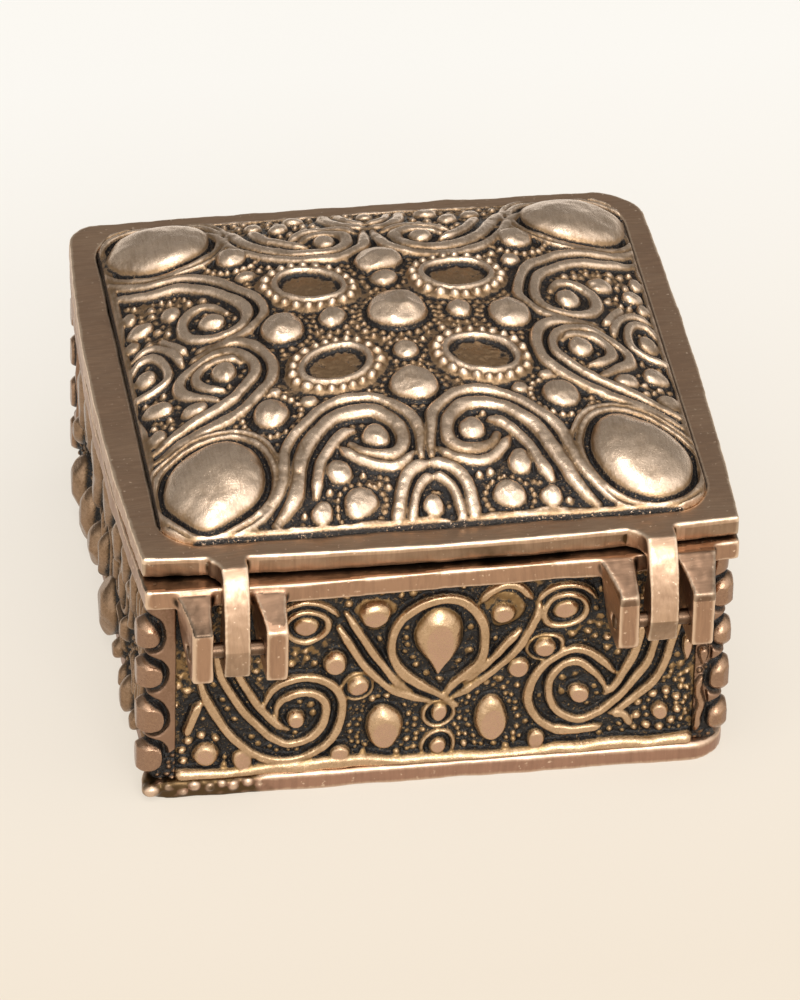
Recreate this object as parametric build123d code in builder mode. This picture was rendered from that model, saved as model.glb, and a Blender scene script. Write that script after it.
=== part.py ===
"""Cast brass trinket box with a domed lid on two rear hinges. Millimetres, +Z up.

The origin is the centre of the flat bottom. The hinges are on the +Y side, the rear.
Ornament on a wall is placed by u, the distance to the right of the wall's middle for
someone facing it from outside, and by z. Ornament on the lid is placed by x and y.
"""
from build123d import *
import os

# Driving dimensions of the body
inner_half = 39.8
wall_thickness = 3.2
floor_thickness = 2.4
base_rail_height = 3.2
base_half_x = 45.4
base_half_y = 44.9
base_corner_radius = 6.0
base_edge_chamfer = 0.5
post_size = 5.0
post_edge_cut = 1.5
rail_bottom_z = 38.3
rail_top_z = 41.6

# Driving dimensions of the lid. Its sides bow outward between the corners.
lid_corner_half = 45.1
lid_bow_left = 47.3
lid_bow_right = 46.1
lid_bow_front = 45.9
lid_bow_rear = 46.8
front_left_radius = 5.0
front_right_radius = 8.0
lid_gap = 0.3
lid_underside_z = rail_top_z + lid_gap
rim_thickness = 3.4
rim_top_z = lid_underside_z + rim_thickness
opening_half_x = 41.7
opening_half_y = 42.3
opening_corner_radius = 6.5

# Driving dimensions of the domed panel
dome_half = 43.0
dome_height = 8.3
panel_edge_z = rim_top_z - 0.3
panel_thickness = 3.0
rib_rise = 1.0
rib_width = 1.1
rib_root = 0.5

# A filed boss narrows from its foot to a shoulder and then to its flat top
shoulder_lift = 0.6
shoulder_share = 0.88
facet_share = 0.62

# Driving dimensions of the hinges
pin_y = 51.0
pin_z = 32.0
pin_radius = 1.2
pin_proud = 0.5
ear_pin_clearance = 0.02
strap_pin_clearance = 0.05
ear_front_y = 54.0
ear_flare_start_y = 53.0
ear_flare_end_y = 48.4
ear_slope_start_y = 48.2
ear_foot_cut = 2.0
ear_bottom_back_z = 27.4
strap_front_y = 53.9
strap_tail_y = 52.8
strap_facet_z = 33.0
strap_back_y = 48.6
strap_neck_y = 49.6
strap_neck_z = 39.0
strap_neck_slope = 2.0
strap_root_y = 44.0
strap_bend_y = 48.8
strap_low_handle = (53.6, 36.8)
strap_high_handle = (51.8, 43.6)
strap_fillet_start_y = 46.4
strap_fillet_bend_y = 47.4
strap_fillet_end_y = 49.5

# Each ear: low x, high x, how far its low-x and high-x sides flare where it joins the rail,
# and the heights of its shoulder and of its foot in front
hinge_ears = {
    "left": ((35.5, 38.7, 0.3, 2.1, 36.9, 28.2), (24.3, 27.6, 0.2, 1.9, 36.4, 27.6)),
    "right": ((-40.2, -36.8, 0.9, 2.0, 37.9, 28.6), (-28.8, -25.7, 0.0, 2.2, 38.1, 29.2)),
}
# Each strap: middle x, width, how far its high-x side spreads where it leaves the rim, tail height
strap_sizes = {
    "left": (31.8, 4.0, 1.5, 28.0),
    "right": (-32.6, 4.5, 2.3, 29.1),
}

os.makedirs("parts", exist_ok=True)

ground_half = inner_half + wall_thickness
post_outer = inner_half + post_size
wall_mid_z = (base_rail_height + rail_bottom_z) / 2
wall_height = rail_bottom_z - base_rail_height

# The rail runs level with the lid's edge on three sides and stands out behind it
rear_rail_points = ((45.1, 48.6), (22.0, 49.1), (0.0, 48.6), (-27.0, 48.2), (-45.1, 46.2))

rear_plane = Plane(origin=(0, ground_half, 0), x_dir=(-1, 0, 0), z_dir=(0, 1, 0))
front_plane = Plane(origin=(0, -ground_half, 0), x_dir=(1, 0, 0), z_dir=(0, -1, 0))
left_plane = Plane(origin=(ground_half, 0, 0), x_dir=(0, 1, 0), z_dir=(1, 0, 0))
right_plane = Plane(origin=(-ground_half, 0, 0), x_dir=(0, -1, 0), z_dir=(-1, 0, 0))


def export(part, name):
    part.label = name
    export_step(part, f"parts/{name}.step")


def ovals(plane, shapes, rise):
    """Filed flat-topped bosses: u, z, width, height and tilt of each."""
    for u, z, width, height, tilt in shapes:
        sections = []
        for lift, share in ((-rib_root, 1.0), (rise * shoulder_lift, shoulder_share), (rise, facet_share)):
            with BuildSketch(plane.offset(lift)) as section:
                with Locations((u, z)):
                    Ellipse(share * width / 2, share * height / 2, rotation=tilt)
            sections.append(section.sketch.face())
        loft(sections, ruled=True)


def rings(plane, shapes, rise):
    """Raised circular ribs: u, z, middle radius and width of each."""
    for u, z, radius, width in shapes:
        with BuildSketch(plane.offset(-rib_root)) as ring:
            with Locations((u, z)):
                Circle(radius + width / 2)
                Circle(radius - width / 2, mode=Mode.SUBTRACT)
        extrude(ring.sketch, amount=rise + rib_root)


def ribs(plane, paths, rise, width=rib_width):
    """Raised ribs that follow smooth lines through a few points."""
    for points in paths:
        with BuildSketch(plane.offset(-rib_root)) as rib:
            with BuildLine():
                Spline(*points)
            trace(line_width=width)
        extrude(rib.sketch, amount=rise + rib_root)


def drop_outline(u, z, width, height):
    """Outline that is round above and pointed below, centred on u and z."""
    radius = width / 2
    tip = (u, z - height / 2)
    waist = z + height / 2 - radius
    shoulder = waist - radius
    near_tip = tip[1] + radius / 2
    with BuildLine() as outline:
        ThreePointArc((u - radius, waist), (u, waist + radius), (u + radius, waist))
        Bezier((u + radius, waist), (u + radius, shoulder), (u + radius / 3, near_tip), tip)
        Bezier(tip, (u - radius / 3, near_tip), (u - radius, shoulder), (u - radius, waist))
    make_face(outline.edges())


def teardrop(plane, u, z, width, height, rise):
    """A filed boss that is round above and pointed below."""
    sections = []
    for lift, share in ((-rib_root, 1.0), (rise * shoulder_lift, shoulder_share), (rise, facet_share)):
        with BuildSketch(plane.offset(lift)) as section:
            drop_outline(u, z, share * width, share * height)
        sections.append(section.sketch.face())
    loft(sections, ruled=True)


def wall_slab(plane):
    """The plain plate of one wall, between two corner posts."""
    with BuildSketch(plane.offset(-wall_thickness)) as slab:
        with Locations((0, wall_mid_z)):
            Rectangle(2 * inner_half, wall_height)
    extrude(slab.sketch, amount=wall_thickness)


# The scroll pattern of the rear and front walls: u and z along each rib
scroll_paths = (
    ((-36.6, 24.0), (-34.6, 16.9), (-32.0, 11.2), (-27.8, 6.5), (-24.2, 5.2), (-20.0, 5.4), (-16.8, 7.6),
     (-14.5, 13.0), (-15.8, 18.2), (-18.9, 20.4), (-22.2, 20.3), (-24.9, 18.2), (-26.8, 15.2)),
    ((-34.4, 28.4), (-32.5, 21.2), (-29.6, 14.9), (-25.4, 9.6), (-22.4, 8.2), (-19.3, 8.9), (-16.9, 13.4),
     (-18.3, 17.0), (-20.6, 17.7), (-23.2, 16.4)),
    ((-30.8, 26.0), (-28.4, 17.7), (-24.9, 12.4)),
    ((37.4, 28.0), (35.1, 19.2), (31.8, 13.2), (27.0, 9.2)),
    ((22.0, 6.6), (18.6, 7.0), (15.6, 9.0), (14.3, 13.8), (17.6, 20.1), (20.2, 21.5), (23.0, 21.2),
     (27.6, 17.2)),
    ((34.4, 28.0), (32.3, 19.4), (29.2, 13.4), (24.9, 9.6), (22.4, 8.9), (19.6, 9.6), (17.4, 13.6), (19.4, 18.7),
     (21.9, 19.2), (25.8, 15.1)),
    ((31.2, 26.0), (29.0, 17.7), (26.1, 12.9)),
    ((-15.4, 29.0), (-10.0, 20.2), (-2.0, 14.2)),
    ((-14.2, 31.6), (-9.6, 23.6), (-4.4, 17.0)),
    ((12.8, 26.4), (9.2, 22.3), (4.8, 17.4)),
    ((15.2, 31.2), (13.8, 25.4), (8.7, 18.8), (2.8, 14.8)),
)
loop_paths = (
    ((2.9, 13.0), (-1.6, 16.7), (-6.0, 21.8), (-6.4, 27.8), (-2.2, 32.6), (1.0, 33.3)),
    ((0.7, 14.7), (4.5, 18.7), (7.3, 24.4), (5.6, 30.5), (1.0, 33.3)),
)
# Filed bosses of that pattern: u, z, width, height and tilt of each
scroll_wall_ovals = (
    (-9.7, 31.2, 5.2, 5.2, 0),
    (9.8, 29.8, 4.0, 4.2, 0),
    (-15.8, 22.6, 4.0, 4.2, 0),
    (-12.2, 18.0, 4.0, 4.2, 0),
    (12.7, 19.0, 3.6, 4.4, 0),
    (16.5, 22.8, 3.6, 4.2, 0),
    (-7.8, 9.9, 5.6, 8.4, 0),
    (8.6, 10.2, 5.4, 8.0, 0),
    (-14.7, 5.4, 3.4, 3.4, 0),
    (15.4, 5.8, 3.2, 3.2, 0),
    (-21.4, 12.8, 3.4, 3.6, 0),
    (22.0, 13.6, 3.4, 3.6, 0),
    (-35.3, 7.2, 4.4, 4.2, 20),
    (-29.6, 5.8, 3.2, 3.8, 30),
    (34.7, 9.2, 2.8, 3.6, 10),
)
scroll_wall_rise = 1.9
wall_rings = ((0.3, 11.4, 2.2, 0.7), (0.5, 5.8, 2.2, 0.7))
wall_beads = ((0.3, 11.6, 2.4, 3.4, 0), (0.5, 5.8, 2.8, 2.8, 0))
ringed_discs = (-19.6, 19.4)
ringed_disc_z = 29.6
ringed_disc_radius = 2.8
teardrop_place = (0.35, 25.7)
teardrop_size = (7.8, 13.6)
teardrop_rise = 2.2


def scroll_pattern(plane):
    """The scrolls, the central teardrop in its loop, and the bosses among them."""
    ribs(plane, scroll_paths, rib_rise)
    ribs(plane, loop_paths, rib_rise + 0.2)
    teardrop(plane, *teardrop_place, *teardrop_size, teardrop_rise)
    ovals(plane, scroll_wall_ovals, scroll_wall_rise)
    ovals(plane, wall_beads, 1.4)
    rings(plane, wall_rings, 0.8)
    rings(plane, [(u, ringed_disc_z, ringed_disc_radius, 1.0) for u in ringed_discs], rib_rise)
    ovals(plane, [(u, ringed_disc_z, 3.6, 3.6, 0) for u in ringed_discs], 1.2)


# Base plate, a flat sheet that is brazed inside the base rail
with BuildPart() as base_plate:
    with BuildSketch():
        Rectangle(2 * inner_half, 2 * inner_half)
    extrude(amount=floor_thickness)
export(base_plate.part, "base_plate")

# Base rail, the plain polished band that the walls and posts stand on
with BuildPart() as base_rail:
    with BuildSketch():
        RectangleRounded(2 * base_half_x, 2 * base_half_y, base_corner_radius)
        Rectangle(2 * inner_half, 2 * inner_half, mode=Mode.SUBTRACT)
    extrude(amount=base_rail_height)
    top_edges = base_rail.edges().group_by(Axis.Z)[-1]
    outer_edges = top_edges.filter_by(
        lambda edge: max(abs(edge.center().X), abs(edge.center().Y)) > (inner_half + base_half_y) / 2
    )
    chamfer(outer_edges, base_edge_chamfer)
export(base_rail.part, "base_rail")

# Rear wall, with a pad behind each hinge ear that fills the space between the ear and the wall
with BuildPart() as rear_wall:
    wall_slab(rear_plane)
    scroll_pattern(rear_plane)
    for hinge in hinge_ears.values():
        for low_x, high_x, *_ in hinge:
            near_x = max(low_x, -inner_half)
            with BuildSketch(rear_plane) as pad:
                with Locations((-(near_x + high_x) / 2, (ear_bottom_back_z + rail_bottom_z) / 2)):
                    Rectangle(high_x - near_x, rail_bottom_z - ear_bottom_back_z)
            extrude(pad.sketch, amount=post_size - wall_thickness)
export(rear_wall.part, "rear_wall")

# Front wall, the same casting with a ringed boss in place of each hinge
front_boss_places = (-31.5, 31.5)
front_boss_z = 31.0
with BuildPart() as front_wall:
    wall_slab(front_plane)
    scroll_pattern(front_plane)
    rings(front_plane, [(u, front_boss_z, 4.2, 1.0) for u in front_boss_places], rib_rise)
    ovals(front_plane, [(u, front_boss_z, 5.6, 5.4, 0) for u in front_boss_places], 1.6)
export(front_wall.part, "front_wall")

# Side walls: long drops that hang in a row over plump ovals. u, z, width, height and rise of
# each drop, and u, z, width, height and tilt of each oval, on the left wall.
side_drops = (
    (-31.6, 22.8, 5.6, 14.4, 2.3),
    (-23.4, 23.4, 5.6, 13.2, 2.3),
    (-13.0, 22.4, 7.2, 15.6, 2.5),
    (0.0, 25.0, 5.4, 12.8, 2.3),
    (9.2, 23.2, 4.2, 8.8, 2.1),
    (19.0, 26.2, 4.0, 9.6, 2.0),
    (28.4, 27.0, 3.8, 8.8, 1.9),
    (-4.0, 11.2, 3.6, 8.8, 2.1),
    (7.6, 17.0, 2.4, 5.6, 1.8),
    (14.4, 18.6, 3.0, 6.4, 1.8),
)
side_ovals = (
    (-36.4, 12.2, 4.4, 6.0, 0),
    (-29.6, 7.8, 6.4, 8.2, 0),
    (-20.4, 8.4, 6.4, 8.6, 0),
    (-11.2, 8.8, 6.0, 8.0, 0),
    (4.2, 8.4, 7.4, 9.4, 0),
    (12.6, 6.4, 3.6, 3.6, 0),
    (19.6, 13.8, 3.2, 4.6, 0),
    (24.6, 6.6, 4.6, 5.8, 0),
)
side_oval_rise = 2.5
side_rib_places = (33.4, 35.4, 37.6)
side_rib_low_z = 7.0
side_rib_high_z = 33.0


def side_pattern(plane, toward_rear):
    """Drops, ovals and three upright ribs; toward_rear is the sign of u on the hinge side."""
    for u, z, width, height, rise in side_drops:
        teardrop(plane, toward_rear * u, z, width, height, rise)
    ovals(plane, [(toward_rear * u, *shape) for u, *shape in side_ovals], side_oval_rise)
    for u in side_rib_places:
        place = toward_rear * u
        ribs(plane, [((place, side_rib_high_z), (place, wall_mid_z), (place, side_rib_low_z))], rib_rise)


with BuildPart() as left_wall:
    wall_slab(left_plane)
    side_pattern(left_plane, 1)
export(left_wall.part, "left_wall")

with BuildPart() as right_wall:
    wall_slab(right_plane)
    side_pattern(right_plane, -1)
export(right_wall.part, "right_wall")

# Corner posts, square bars with a column of filed ovals that wrap the outer edge
post_middle = inner_half + post_size / 2
oval_z = (8.4, 16.2, 24.0, 31.6)
corner_oval_width = 4.4
corner_oval_height = 6.6
corner_oval_rise = 0.8
file_reach = 2.0


def corner_post(side_x, side_y):
    """One post, standing on the base rail, with its ovals on both outer faces."""
    plane_x = Plane(origin=(side_x * post_outer, 0, 0), x_dir=(0, side_x, 0), z_dir=(side_x, 0, 0))
    plane_y = Plane(origin=(0, side_y * post_outer, 0), x_dir=(-side_y, 0, 0), z_dir=(0, side_y, 0))
    with BuildSketch(Plane.XY.offset(base_rail_height)) as bar:
        with Locations((side_x * post_middle, side_y * post_middle)):
            Rectangle(post_size, post_size)
    extrude(bar.sketch, amount=wall_height)
    u_x = side_x * side_y * (post_outer - corner_oval_width / 2 - 0.2)
    u_y = -side_x * side_y * (post_outer - corner_oval_width / 2 - 0.2)
    ovals(plane_x, [(u_x, z, corner_oval_width, corner_oval_height, 0) for z in oval_z], corner_oval_rise)
    ovals(plane_y, [(u_y, z, corner_oval_width, corner_oval_height, 0) for z in oval_z], corner_oval_rise)
    near = post_outer - post_edge_cut - file_reach
    far = post_outer + file_reach
    with BuildSketch(Plane.XY.offset(base_rail_height)) as filed_edge:
        Polygon((side_x * far, side_y * near), (side_x * near, side_y * far), (side_x * far, side_y * far),
                align=None)
    extrude(filed_edge.sketch, amount=wall_height, mode=Mode.SUBTRACT)


post_names = {
    "rear_left_post": (1, 1),
    "rear_right_post": (-1, 1),
    "front_left_post": (1, -1),
    "front_right_post": (-1, -1),
}
for post_name, (side_x, side_y) in post_names.items():
    with BuildPart() as post:
        corner_post(side_x, side_y)
    export(post.part, post_name)


def bowed_outline(rear_edge, rear_left_y, rear_right_y):
    """Outline of the lid or the rail, with its three bowed sides and the given rear edge."""
    front_left = (lid_corner_half, -lid_corner_half)
    front_right = (-lid_corner_half, -lid_corner_half)
    with BuildLine() as outline:
        rear_edge()
        ThreePointArc((-lid_corner_half, rear_right_y), (-lid_bow_right, 0), front_right)
        ThreePointArc(front_right, (0, -lid_bow_front), front_left)
        ThreePointArc(front_left, (lid_bow_left, 0), (lid_corner_half, rear_left_y))
    make_face(outline.edges())


def round_front_corners(sketch):
    """The two front corners are rounder than the rear ones, the right one most of all."""
    fillet(sketch.vertices().sort_by_distance((lid_corner_half, -lid_corner_half))[0], front_left_radius)
    fillet(sketch.vertices().sort_by_distance((-lid_corner_half, -lid_corner_half))[0], front_right_radius)


def rail_rear_edge():
    Polyline(*rear_rail_points)


def lid_rear_edge():
    ThreePointArc((lid_corner_half, lid_corner_half), (0, lid_bow_rear), (-lid_corner_half, lid_corner_half))


def ear_profile(low_x, high_x, shoulder_z, foot_z):
    """Side view of an ear, taken right through it: sloped top, upright front, chamfered foot."""
    with BuildSketch(Plane.YZ.offset(low_x)) as side_view:
        with BuildLine():
            Polyline(
                (post_outer, rail_top_z), (ear_slope_start_y, rail_top_z), (ear_front_y, shoulder_z),
                (ear_front_y, foot_z), (ear_front_y - ear_foot_cut, ear_bottom_back_z),
                (post_outer, ear_bottom_back_z), close=True,
            )
        make_face()
    extrude(side_view.sketch, amount=high_x - low_x)


def ear_plan(low_x, high_x, low_flare, high_flare):
    """Plan of an ear at its foot, where both flares are 0, or at the rail."""
    Polygon(
        (low_x - low_flare, post_outer), (high_x + high_flare, post_outer),
        (high_x + high_flare, ear_flare_end_y), (high_x, ear_flare_start_y), (high_x, ear_front_y),
        (low_x, ear_front_y), (low_x, ear_flare_start_y), (low_x - low_flare, ear_flare_end_y), align=None,
    )


# Top rail, the ledge that the lid rests over, with the four hinge ears cast on
ears = []
for hinge in hinge_ears.values():
    for low_x, high_x, low_flare, high_flare, shoulder_z, foot_z in hinge:
        with BuildPart() as ear:
            ear_profile(low_x - low_flare, high_x + high_flare, shoulder_z, foot_z)
            with BuildSketch(Plane.XY.offset(ear_bottom_back_z)):
                ear_plan(low_x, high_x, 0.01, 0.01)
            with BuildSketch(Plane.XY.offset(rail_top_z)):
                ear_plan(low_x, high_x, low_flare + 0.01, high_flare + 0.01)
            loft(ruled=True, mode=Mode.INTERSECT)
        ears.append(ear.part)

with BuildPart() as top_rail:
    with BuildSketch(Plane.XY.offset(rail_bottom_z)) as rail_sketch:
        bowed_outline(rail_rear_edge, rear_rail_points[0][1], rear_rail_points[-1][1])
        round_front_corners(rail_sketch)
        Rectangle(2 * inner_half, 2 * inner_half, mode=Mode.SUBTRACT)
    extrude(amount=rail_top_z - rail_bottom_z)
    for ear_solid in ears:
        add(ear_solid)
    with BuildSketch(Plane.YZ.offset(-lid_corner_half)):
        with Locations((pin_y, pin_z)):
            Circle(pin_radius + ear_pin_clearance)
    extrude(amount=2 * lid_corner_half, mode=Mode.SUBTRACT)
export(top_rail.part, "top_rail")

# Hinge pins, plain rods through each pair of ears, a little proud at both ends
for side, hinge in hinge_ears.items():
    pin_start = min(ear_sizes[0] for ear_sizes in hinge) - pin_proud
    pin_end = max(ear_sizes[1] for ear_sizes in hinge) + pin_proud
    with BuildPart() as hinge_pin:
        with BuildSketch(Plane.YZ.offset(pin_start)):
            with Locations((pin_y, pin_z)):
                Circle(pin_radius)
        extrude(amount=pin_end - pin_start)
    export(hinge_pin.part, f"{side}_hinge_pin")


def strap_profile(start_x, width, tail_z):
    """Side view of a strap, taken right through it: over the rail, down and round the pin."""
    with BuildSketch(Plane.YZ.offset(start_x)) as side_view:
        with BuildLine():
            Polyline(
                (strap_bend_y, rim_top_z), (strap_root_y, rim_top_z), (strap_root_y, lid_underside_z),
                (strap_neck_y, lid_underside_z), (strap_neck_y, strap_neck_z),
                (strap_back_y, strap_neck_z - strap_neck_slope), (strap_back_y, tail_z),
                (strap_tail_y, tail_z), (strap_front_y, strap_facet_z),
            )
            Bezier((strap_front_y, strap_facet_z), strap_low_handle, strap_high_handle,
                   (strap_bend_y, rim_top_z))
        make_face()
    extrude(side_view.sketch, amount=width)


def strap_plan(low_x, high_x, spread, tail_z):
    """Plan of a strap, which spreads on its high-x side where it leaves the rim."""
    wide_x = high_x + spread
    with BuildSketch(Plane.XY.offset(tail_z)) as plan:
        with BuildLine():
            Polyline((high_x, ear_front_y), (low_x, ear_front_y), (low_x, strap_root_y), (wide_x, strap_root_y),
                     (wide_x, strap_fillet_start_y))
            Bezier((wide_x, strap_fillet_start_y), (high_x, strap_fillet_bend_y), (high_x, strap_fillet_end_y))
            Line((high_x, strap_fillet_end_y), (high_x, ear_front_y))
        make_face()
    extrude(plan.sketch, amount=rim_top_z - tail_z, mode=Mode.INTERSECT)


# Lid rim, a flat cast frame with the two hinge straps in one piece with it
straps = []
for middle_x, width, spread, tail_z in strap_sizes.values():
    low_x = middle_x - width / 2
    with BuildPart() as strap:
        strap_profile(low_x, width + spread, tail_z)
        strap_plan(low_x, low_x + width, spread, tail_z)
    straps.append(strap.part)

with BuildPart() as lid_rim:
    with BuildSketch(Plane.XY.offset(lid_underside_z)) as rim_sketch:
        bowed_outline(lid_rear_edge, lid_corner_half, lid_corner_half)
        round_front_corners(rim_sketch)
        RectangleRounded(2 * opening_half_x, 2 * opening_half_y, opening_corner_radius, mode=Mode.SUBTRACT)
    extrude(amount=rim_thickness)
    for strap_solid in straps:
        add(strap_solid)
    with BuildSketch(Plane.YZ.offset(-lid_corner_half)):
        with Locations((pin_y, pin_z)):
            Circle(pin_radius + strap_pin_clearance)
    extrude(amount=2 * lid_corner_half, mode=Mode.SUBTRACT)
export(lid_rim.part, "lid_rim")

# Domed panel. Across each axis its height follows 1 - (t^2 + t^4) / 2, with t from -1 to 1
# at the edges, and these are the control heights of that curve.
dome_net = (0, 1.5, 2 / 3, 1.5, 0)
dome_steps = len(dome_net) - 1


def dome_face(edge_z):
    """The pillow surface whose four edges lie at the given height."""
    step = 2 * dome_half / dome_steps
    rows = []
    for row, height_y in enumerate(dome_net):
        y = row * step - dome_half
        rows.append([
            (column * step - dome_half, y, edge_z + dome_height * height_x * height_y)
            for column, height_x in enumerate(dome_net)
        ])
    return Face.make_bezier_surface(rows)


def surface_z(x, y):
    """Height of the pillow surface at a point."""
    across = 1 - ((x / dome_half) ** 2 + (x / dome_half) ** 4) / 2
    along = 1 - ((y / dome_half) ** 2 + (y / dome_half) ** 4) / 2
    return panel_edge_z + dome_height * across * along


def lid_dome(x, y, radius, rise):
    """A round boss: the top of a ball that sits in the pillow surface."""
    ball = (radius ** 2 + rise ** 2) / (2 * rise)
    with Locations((x, y, surface_z(x, y) + rise - ball)):
        Sphere(ball)


# Round bosses on the lid: x, y, radius and rise. Those along the middle stand alone, and
# each of the others has its mirror image at -x.
lid_middle_domes = (
    (-0.4, -3.5, 5.0, 3.0),
    (17.8, -1.6, 3.6, 2.3),
    (-17.7, -1.6, 3.6, 2.3),
    (0.2, -18.3, 3.6, 2.3),
    (-0.2, 16.0, 3.7, 2.3),
    (9.4, -3.2, 2.2, 1.5),
    (-9.9, -3.2, 2.0, 1.5),
    (0.1, -13.0, 2.0, 1.5),
    (0.0, 7.2, 2.1, 1.5),
    (0.6, 39.4, 1.8, 1.2),
)
lid_paired_domes = (
    (22.4, 18.8, 3.0, 1.9),
    (22.3, -25.0, 2.9, 1.9),
    (7.3, 26.4, 2.2, 1.8),
    (7.1, -26.3, 2.0, 1.6),
    (27.6, 6.7, 2.2, 1.8),
    (27.8, -6.8, 2.2, 1.8),
    (13.8, 32.8, 2.0, 1.5),
    (11.3, 38.4, 2.4, 1.6),
    (17.4, 39.4, 1.8, 1.2),
    (38.0, 10.8, 2.1, 1.4),
    (33.2, 13.6, 1.8, 1.3),
    (38.2, -10.9, 1.9, 1.3),
    (33.3, -12.6, 1.8, 1.3),
    (38.8, 1.8, 1.8, 1.2),
)
# Corner domes, each at its own place and turn: x, y, half length, half width, turn
corner_domes = (
    (32.4, 31.7, 9.0, 7.5, 66),
    (-32.4, 31.7, 9.0, 7.5, -66),
    (32.6, -32.6, 8.7, 7.5, 25),
    (-32.6, -32.6, 8.7, 7.5, -25),
)
corner_dome_rise = 3.2
bezels = ((12.0, -12.6, -24), (-11.3, -13.2, 9), (10.9, 9.1, 26), (-11.5, 8.8, -32))
bezel_half_length = 8.0
bezel_half_width = 6.8
bezel_ring = 3.1

# Ribs of the lid's half with x > 0; the other half mirrors them
lid_rib_paths = (
    ((25.8, 38.6), (22.4, 33.3), (20.0, 25.6), (15.9, 20.6), (11.0, 18.0), (5.6, 18.7), (1.7, 22.9),
     (0.8, 28.0)),
    ((24.2, 40.7), (21.0, 36.0), (18.7, 29.0), (15.5, 24.1), (10.8, 21.0), (6.5, 21.0), (3.5, 24.6),
     (3.8, 28.8), (6.9, 30.8), (10.1, 29.2)),
    ((25.8, -36.1), (22.4, -31.9), (20.0, -25.9), (15.9, -22.0), (11.0, -20.0), (5.6, -20.5), (1.7, -23.8),
     (0.8, -27.8)),
    ((24.2, -37.7), (21.0, -34.0), (18.7, -28.6), (15.5, -24.7), (10.8, -22.3), (6.5, -22.3), (3.5, -25.1),
     (3.8, -28.4), (6.9, -30.0), (10.1, -28.7)),
    ((40.5, -25.1), (35.2, -21.9), (29.5, -21.0), (23.5, -16.7), (20.3, -10.2), (20.8, -5.4), (24.8, -1.1),
     (29.0, -0.4)),
    ((40.8, -22.7), (35.5, -19.5), (29.9, -18.1), (24.4, -13.6), (22.5, -7.2), (24.5, -3.3), (28.8, -2.2),
     (32.0, -5.7), (30.4, -10.8)),
    ((36.4, 20.8), (31.0, 18.7), (25.2, 15.5), (20.9, 10.3), (20.2, 6.9), (22.2, 1.5), (27.0, 0.5),
     (31.6, 1.1)),
    ((39.6, 19.8), (33.2, 16.6), (27.3, 13.4), (23.2, 8.8), (23.3, 4.8), (26.5, 1.9), (31.1, 2.5),
     (34.5, 6.5), (32.9, 10.7)),
)
rib_top_cut = 6.0
lid_rib_width = 1.5

with BuildPart() as lid_ribs:
    for path in lid_rib_paths:
        for side in (1, -1):
            with BuildSketch(Plane.XY.offset(panel_edge_z - 1)):
                with BuildLine():
                    Spline(*[(side * x, y) for x, y in path])
                trace(line_width=lid_rib_width)
            extrude(amount=dome_height + 3)
    extrude(dome_face(panel_edge_z + rib_rise), amount=rib_top_cut, dir=(0, 0, -1), mode=Mode.INTERSECT)

with BuildPart() as bezel_rings:
    for x, y, turn in bezels:
        with BuildSketch(Plane.XY.offset(panel_edge_z - 1)):
            with Locations((x, y)):
                Ellipse(bezel_half_length, bezel_half_width, rotation=turn)
                Ellipse(bezel_half_length - bezel_ring, bezel_half_width - bezel_ring, rotation=turn,
                        mode=Mode.SUBTRACT)
        extrude(amount=dome_height + 3)
    extrude(dome_face(panel_edge_z + rib_rise), amount=rib_top_cut, dir=(0, 0, -1), mode=Mode.INTERSECT)

# The corner domes are egg-shaped caps, each made by stretching a ball
unit_ball = Solid.make_sphere(1)
corner_eggs = []
for x, y, half_length, half_width, turn in corner_domes:
    egg = scale(unit_ball, by=(half_length, half_width, corner_dome_rise))
    corner_eggs.append(Location((x, y, surface_z(x, y)), (0, 0, turn)) * egg)

with BuildPart() as lid_panel:
    extrude(dome_face(panel_edge_z), amount=2 * panel_thickness, dir=(0, 0, -1))
    for x, y, radius, rise in lid_middle_domes:
        lid_dome(x, y, radius, rise)
    for x, y, radius, rise in lid_paired_domes:
        lid_dome(x, y, radius, rise)
        lid_dome(-x, y, radius, rise)
    add(corner_eggs)
    add(lid_ribs.part)
    add(bezel_rings.part)
    extrude(dome_face(panel_edge_z - panel_thickness), amount=5 * panel_thickness, dir=(0, 0, -1),
            mode=Mode.SUBTRACT)
    with BuildSketch(Plane.XY.offset(lid_underside_z)):
        RectangleRounded(2 * opening_half_x, 2 * opening_half_y, opening_corner_radius)
    extrude(amount=dome_height + 3 * rim_thickness, mode=Mode.INTERSECT)
export(lid_panel.part, "lid_panel")
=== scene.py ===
import math

import bmesh
import bpy
import numpy as np
from mathutils import Matrix, Vector


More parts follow.
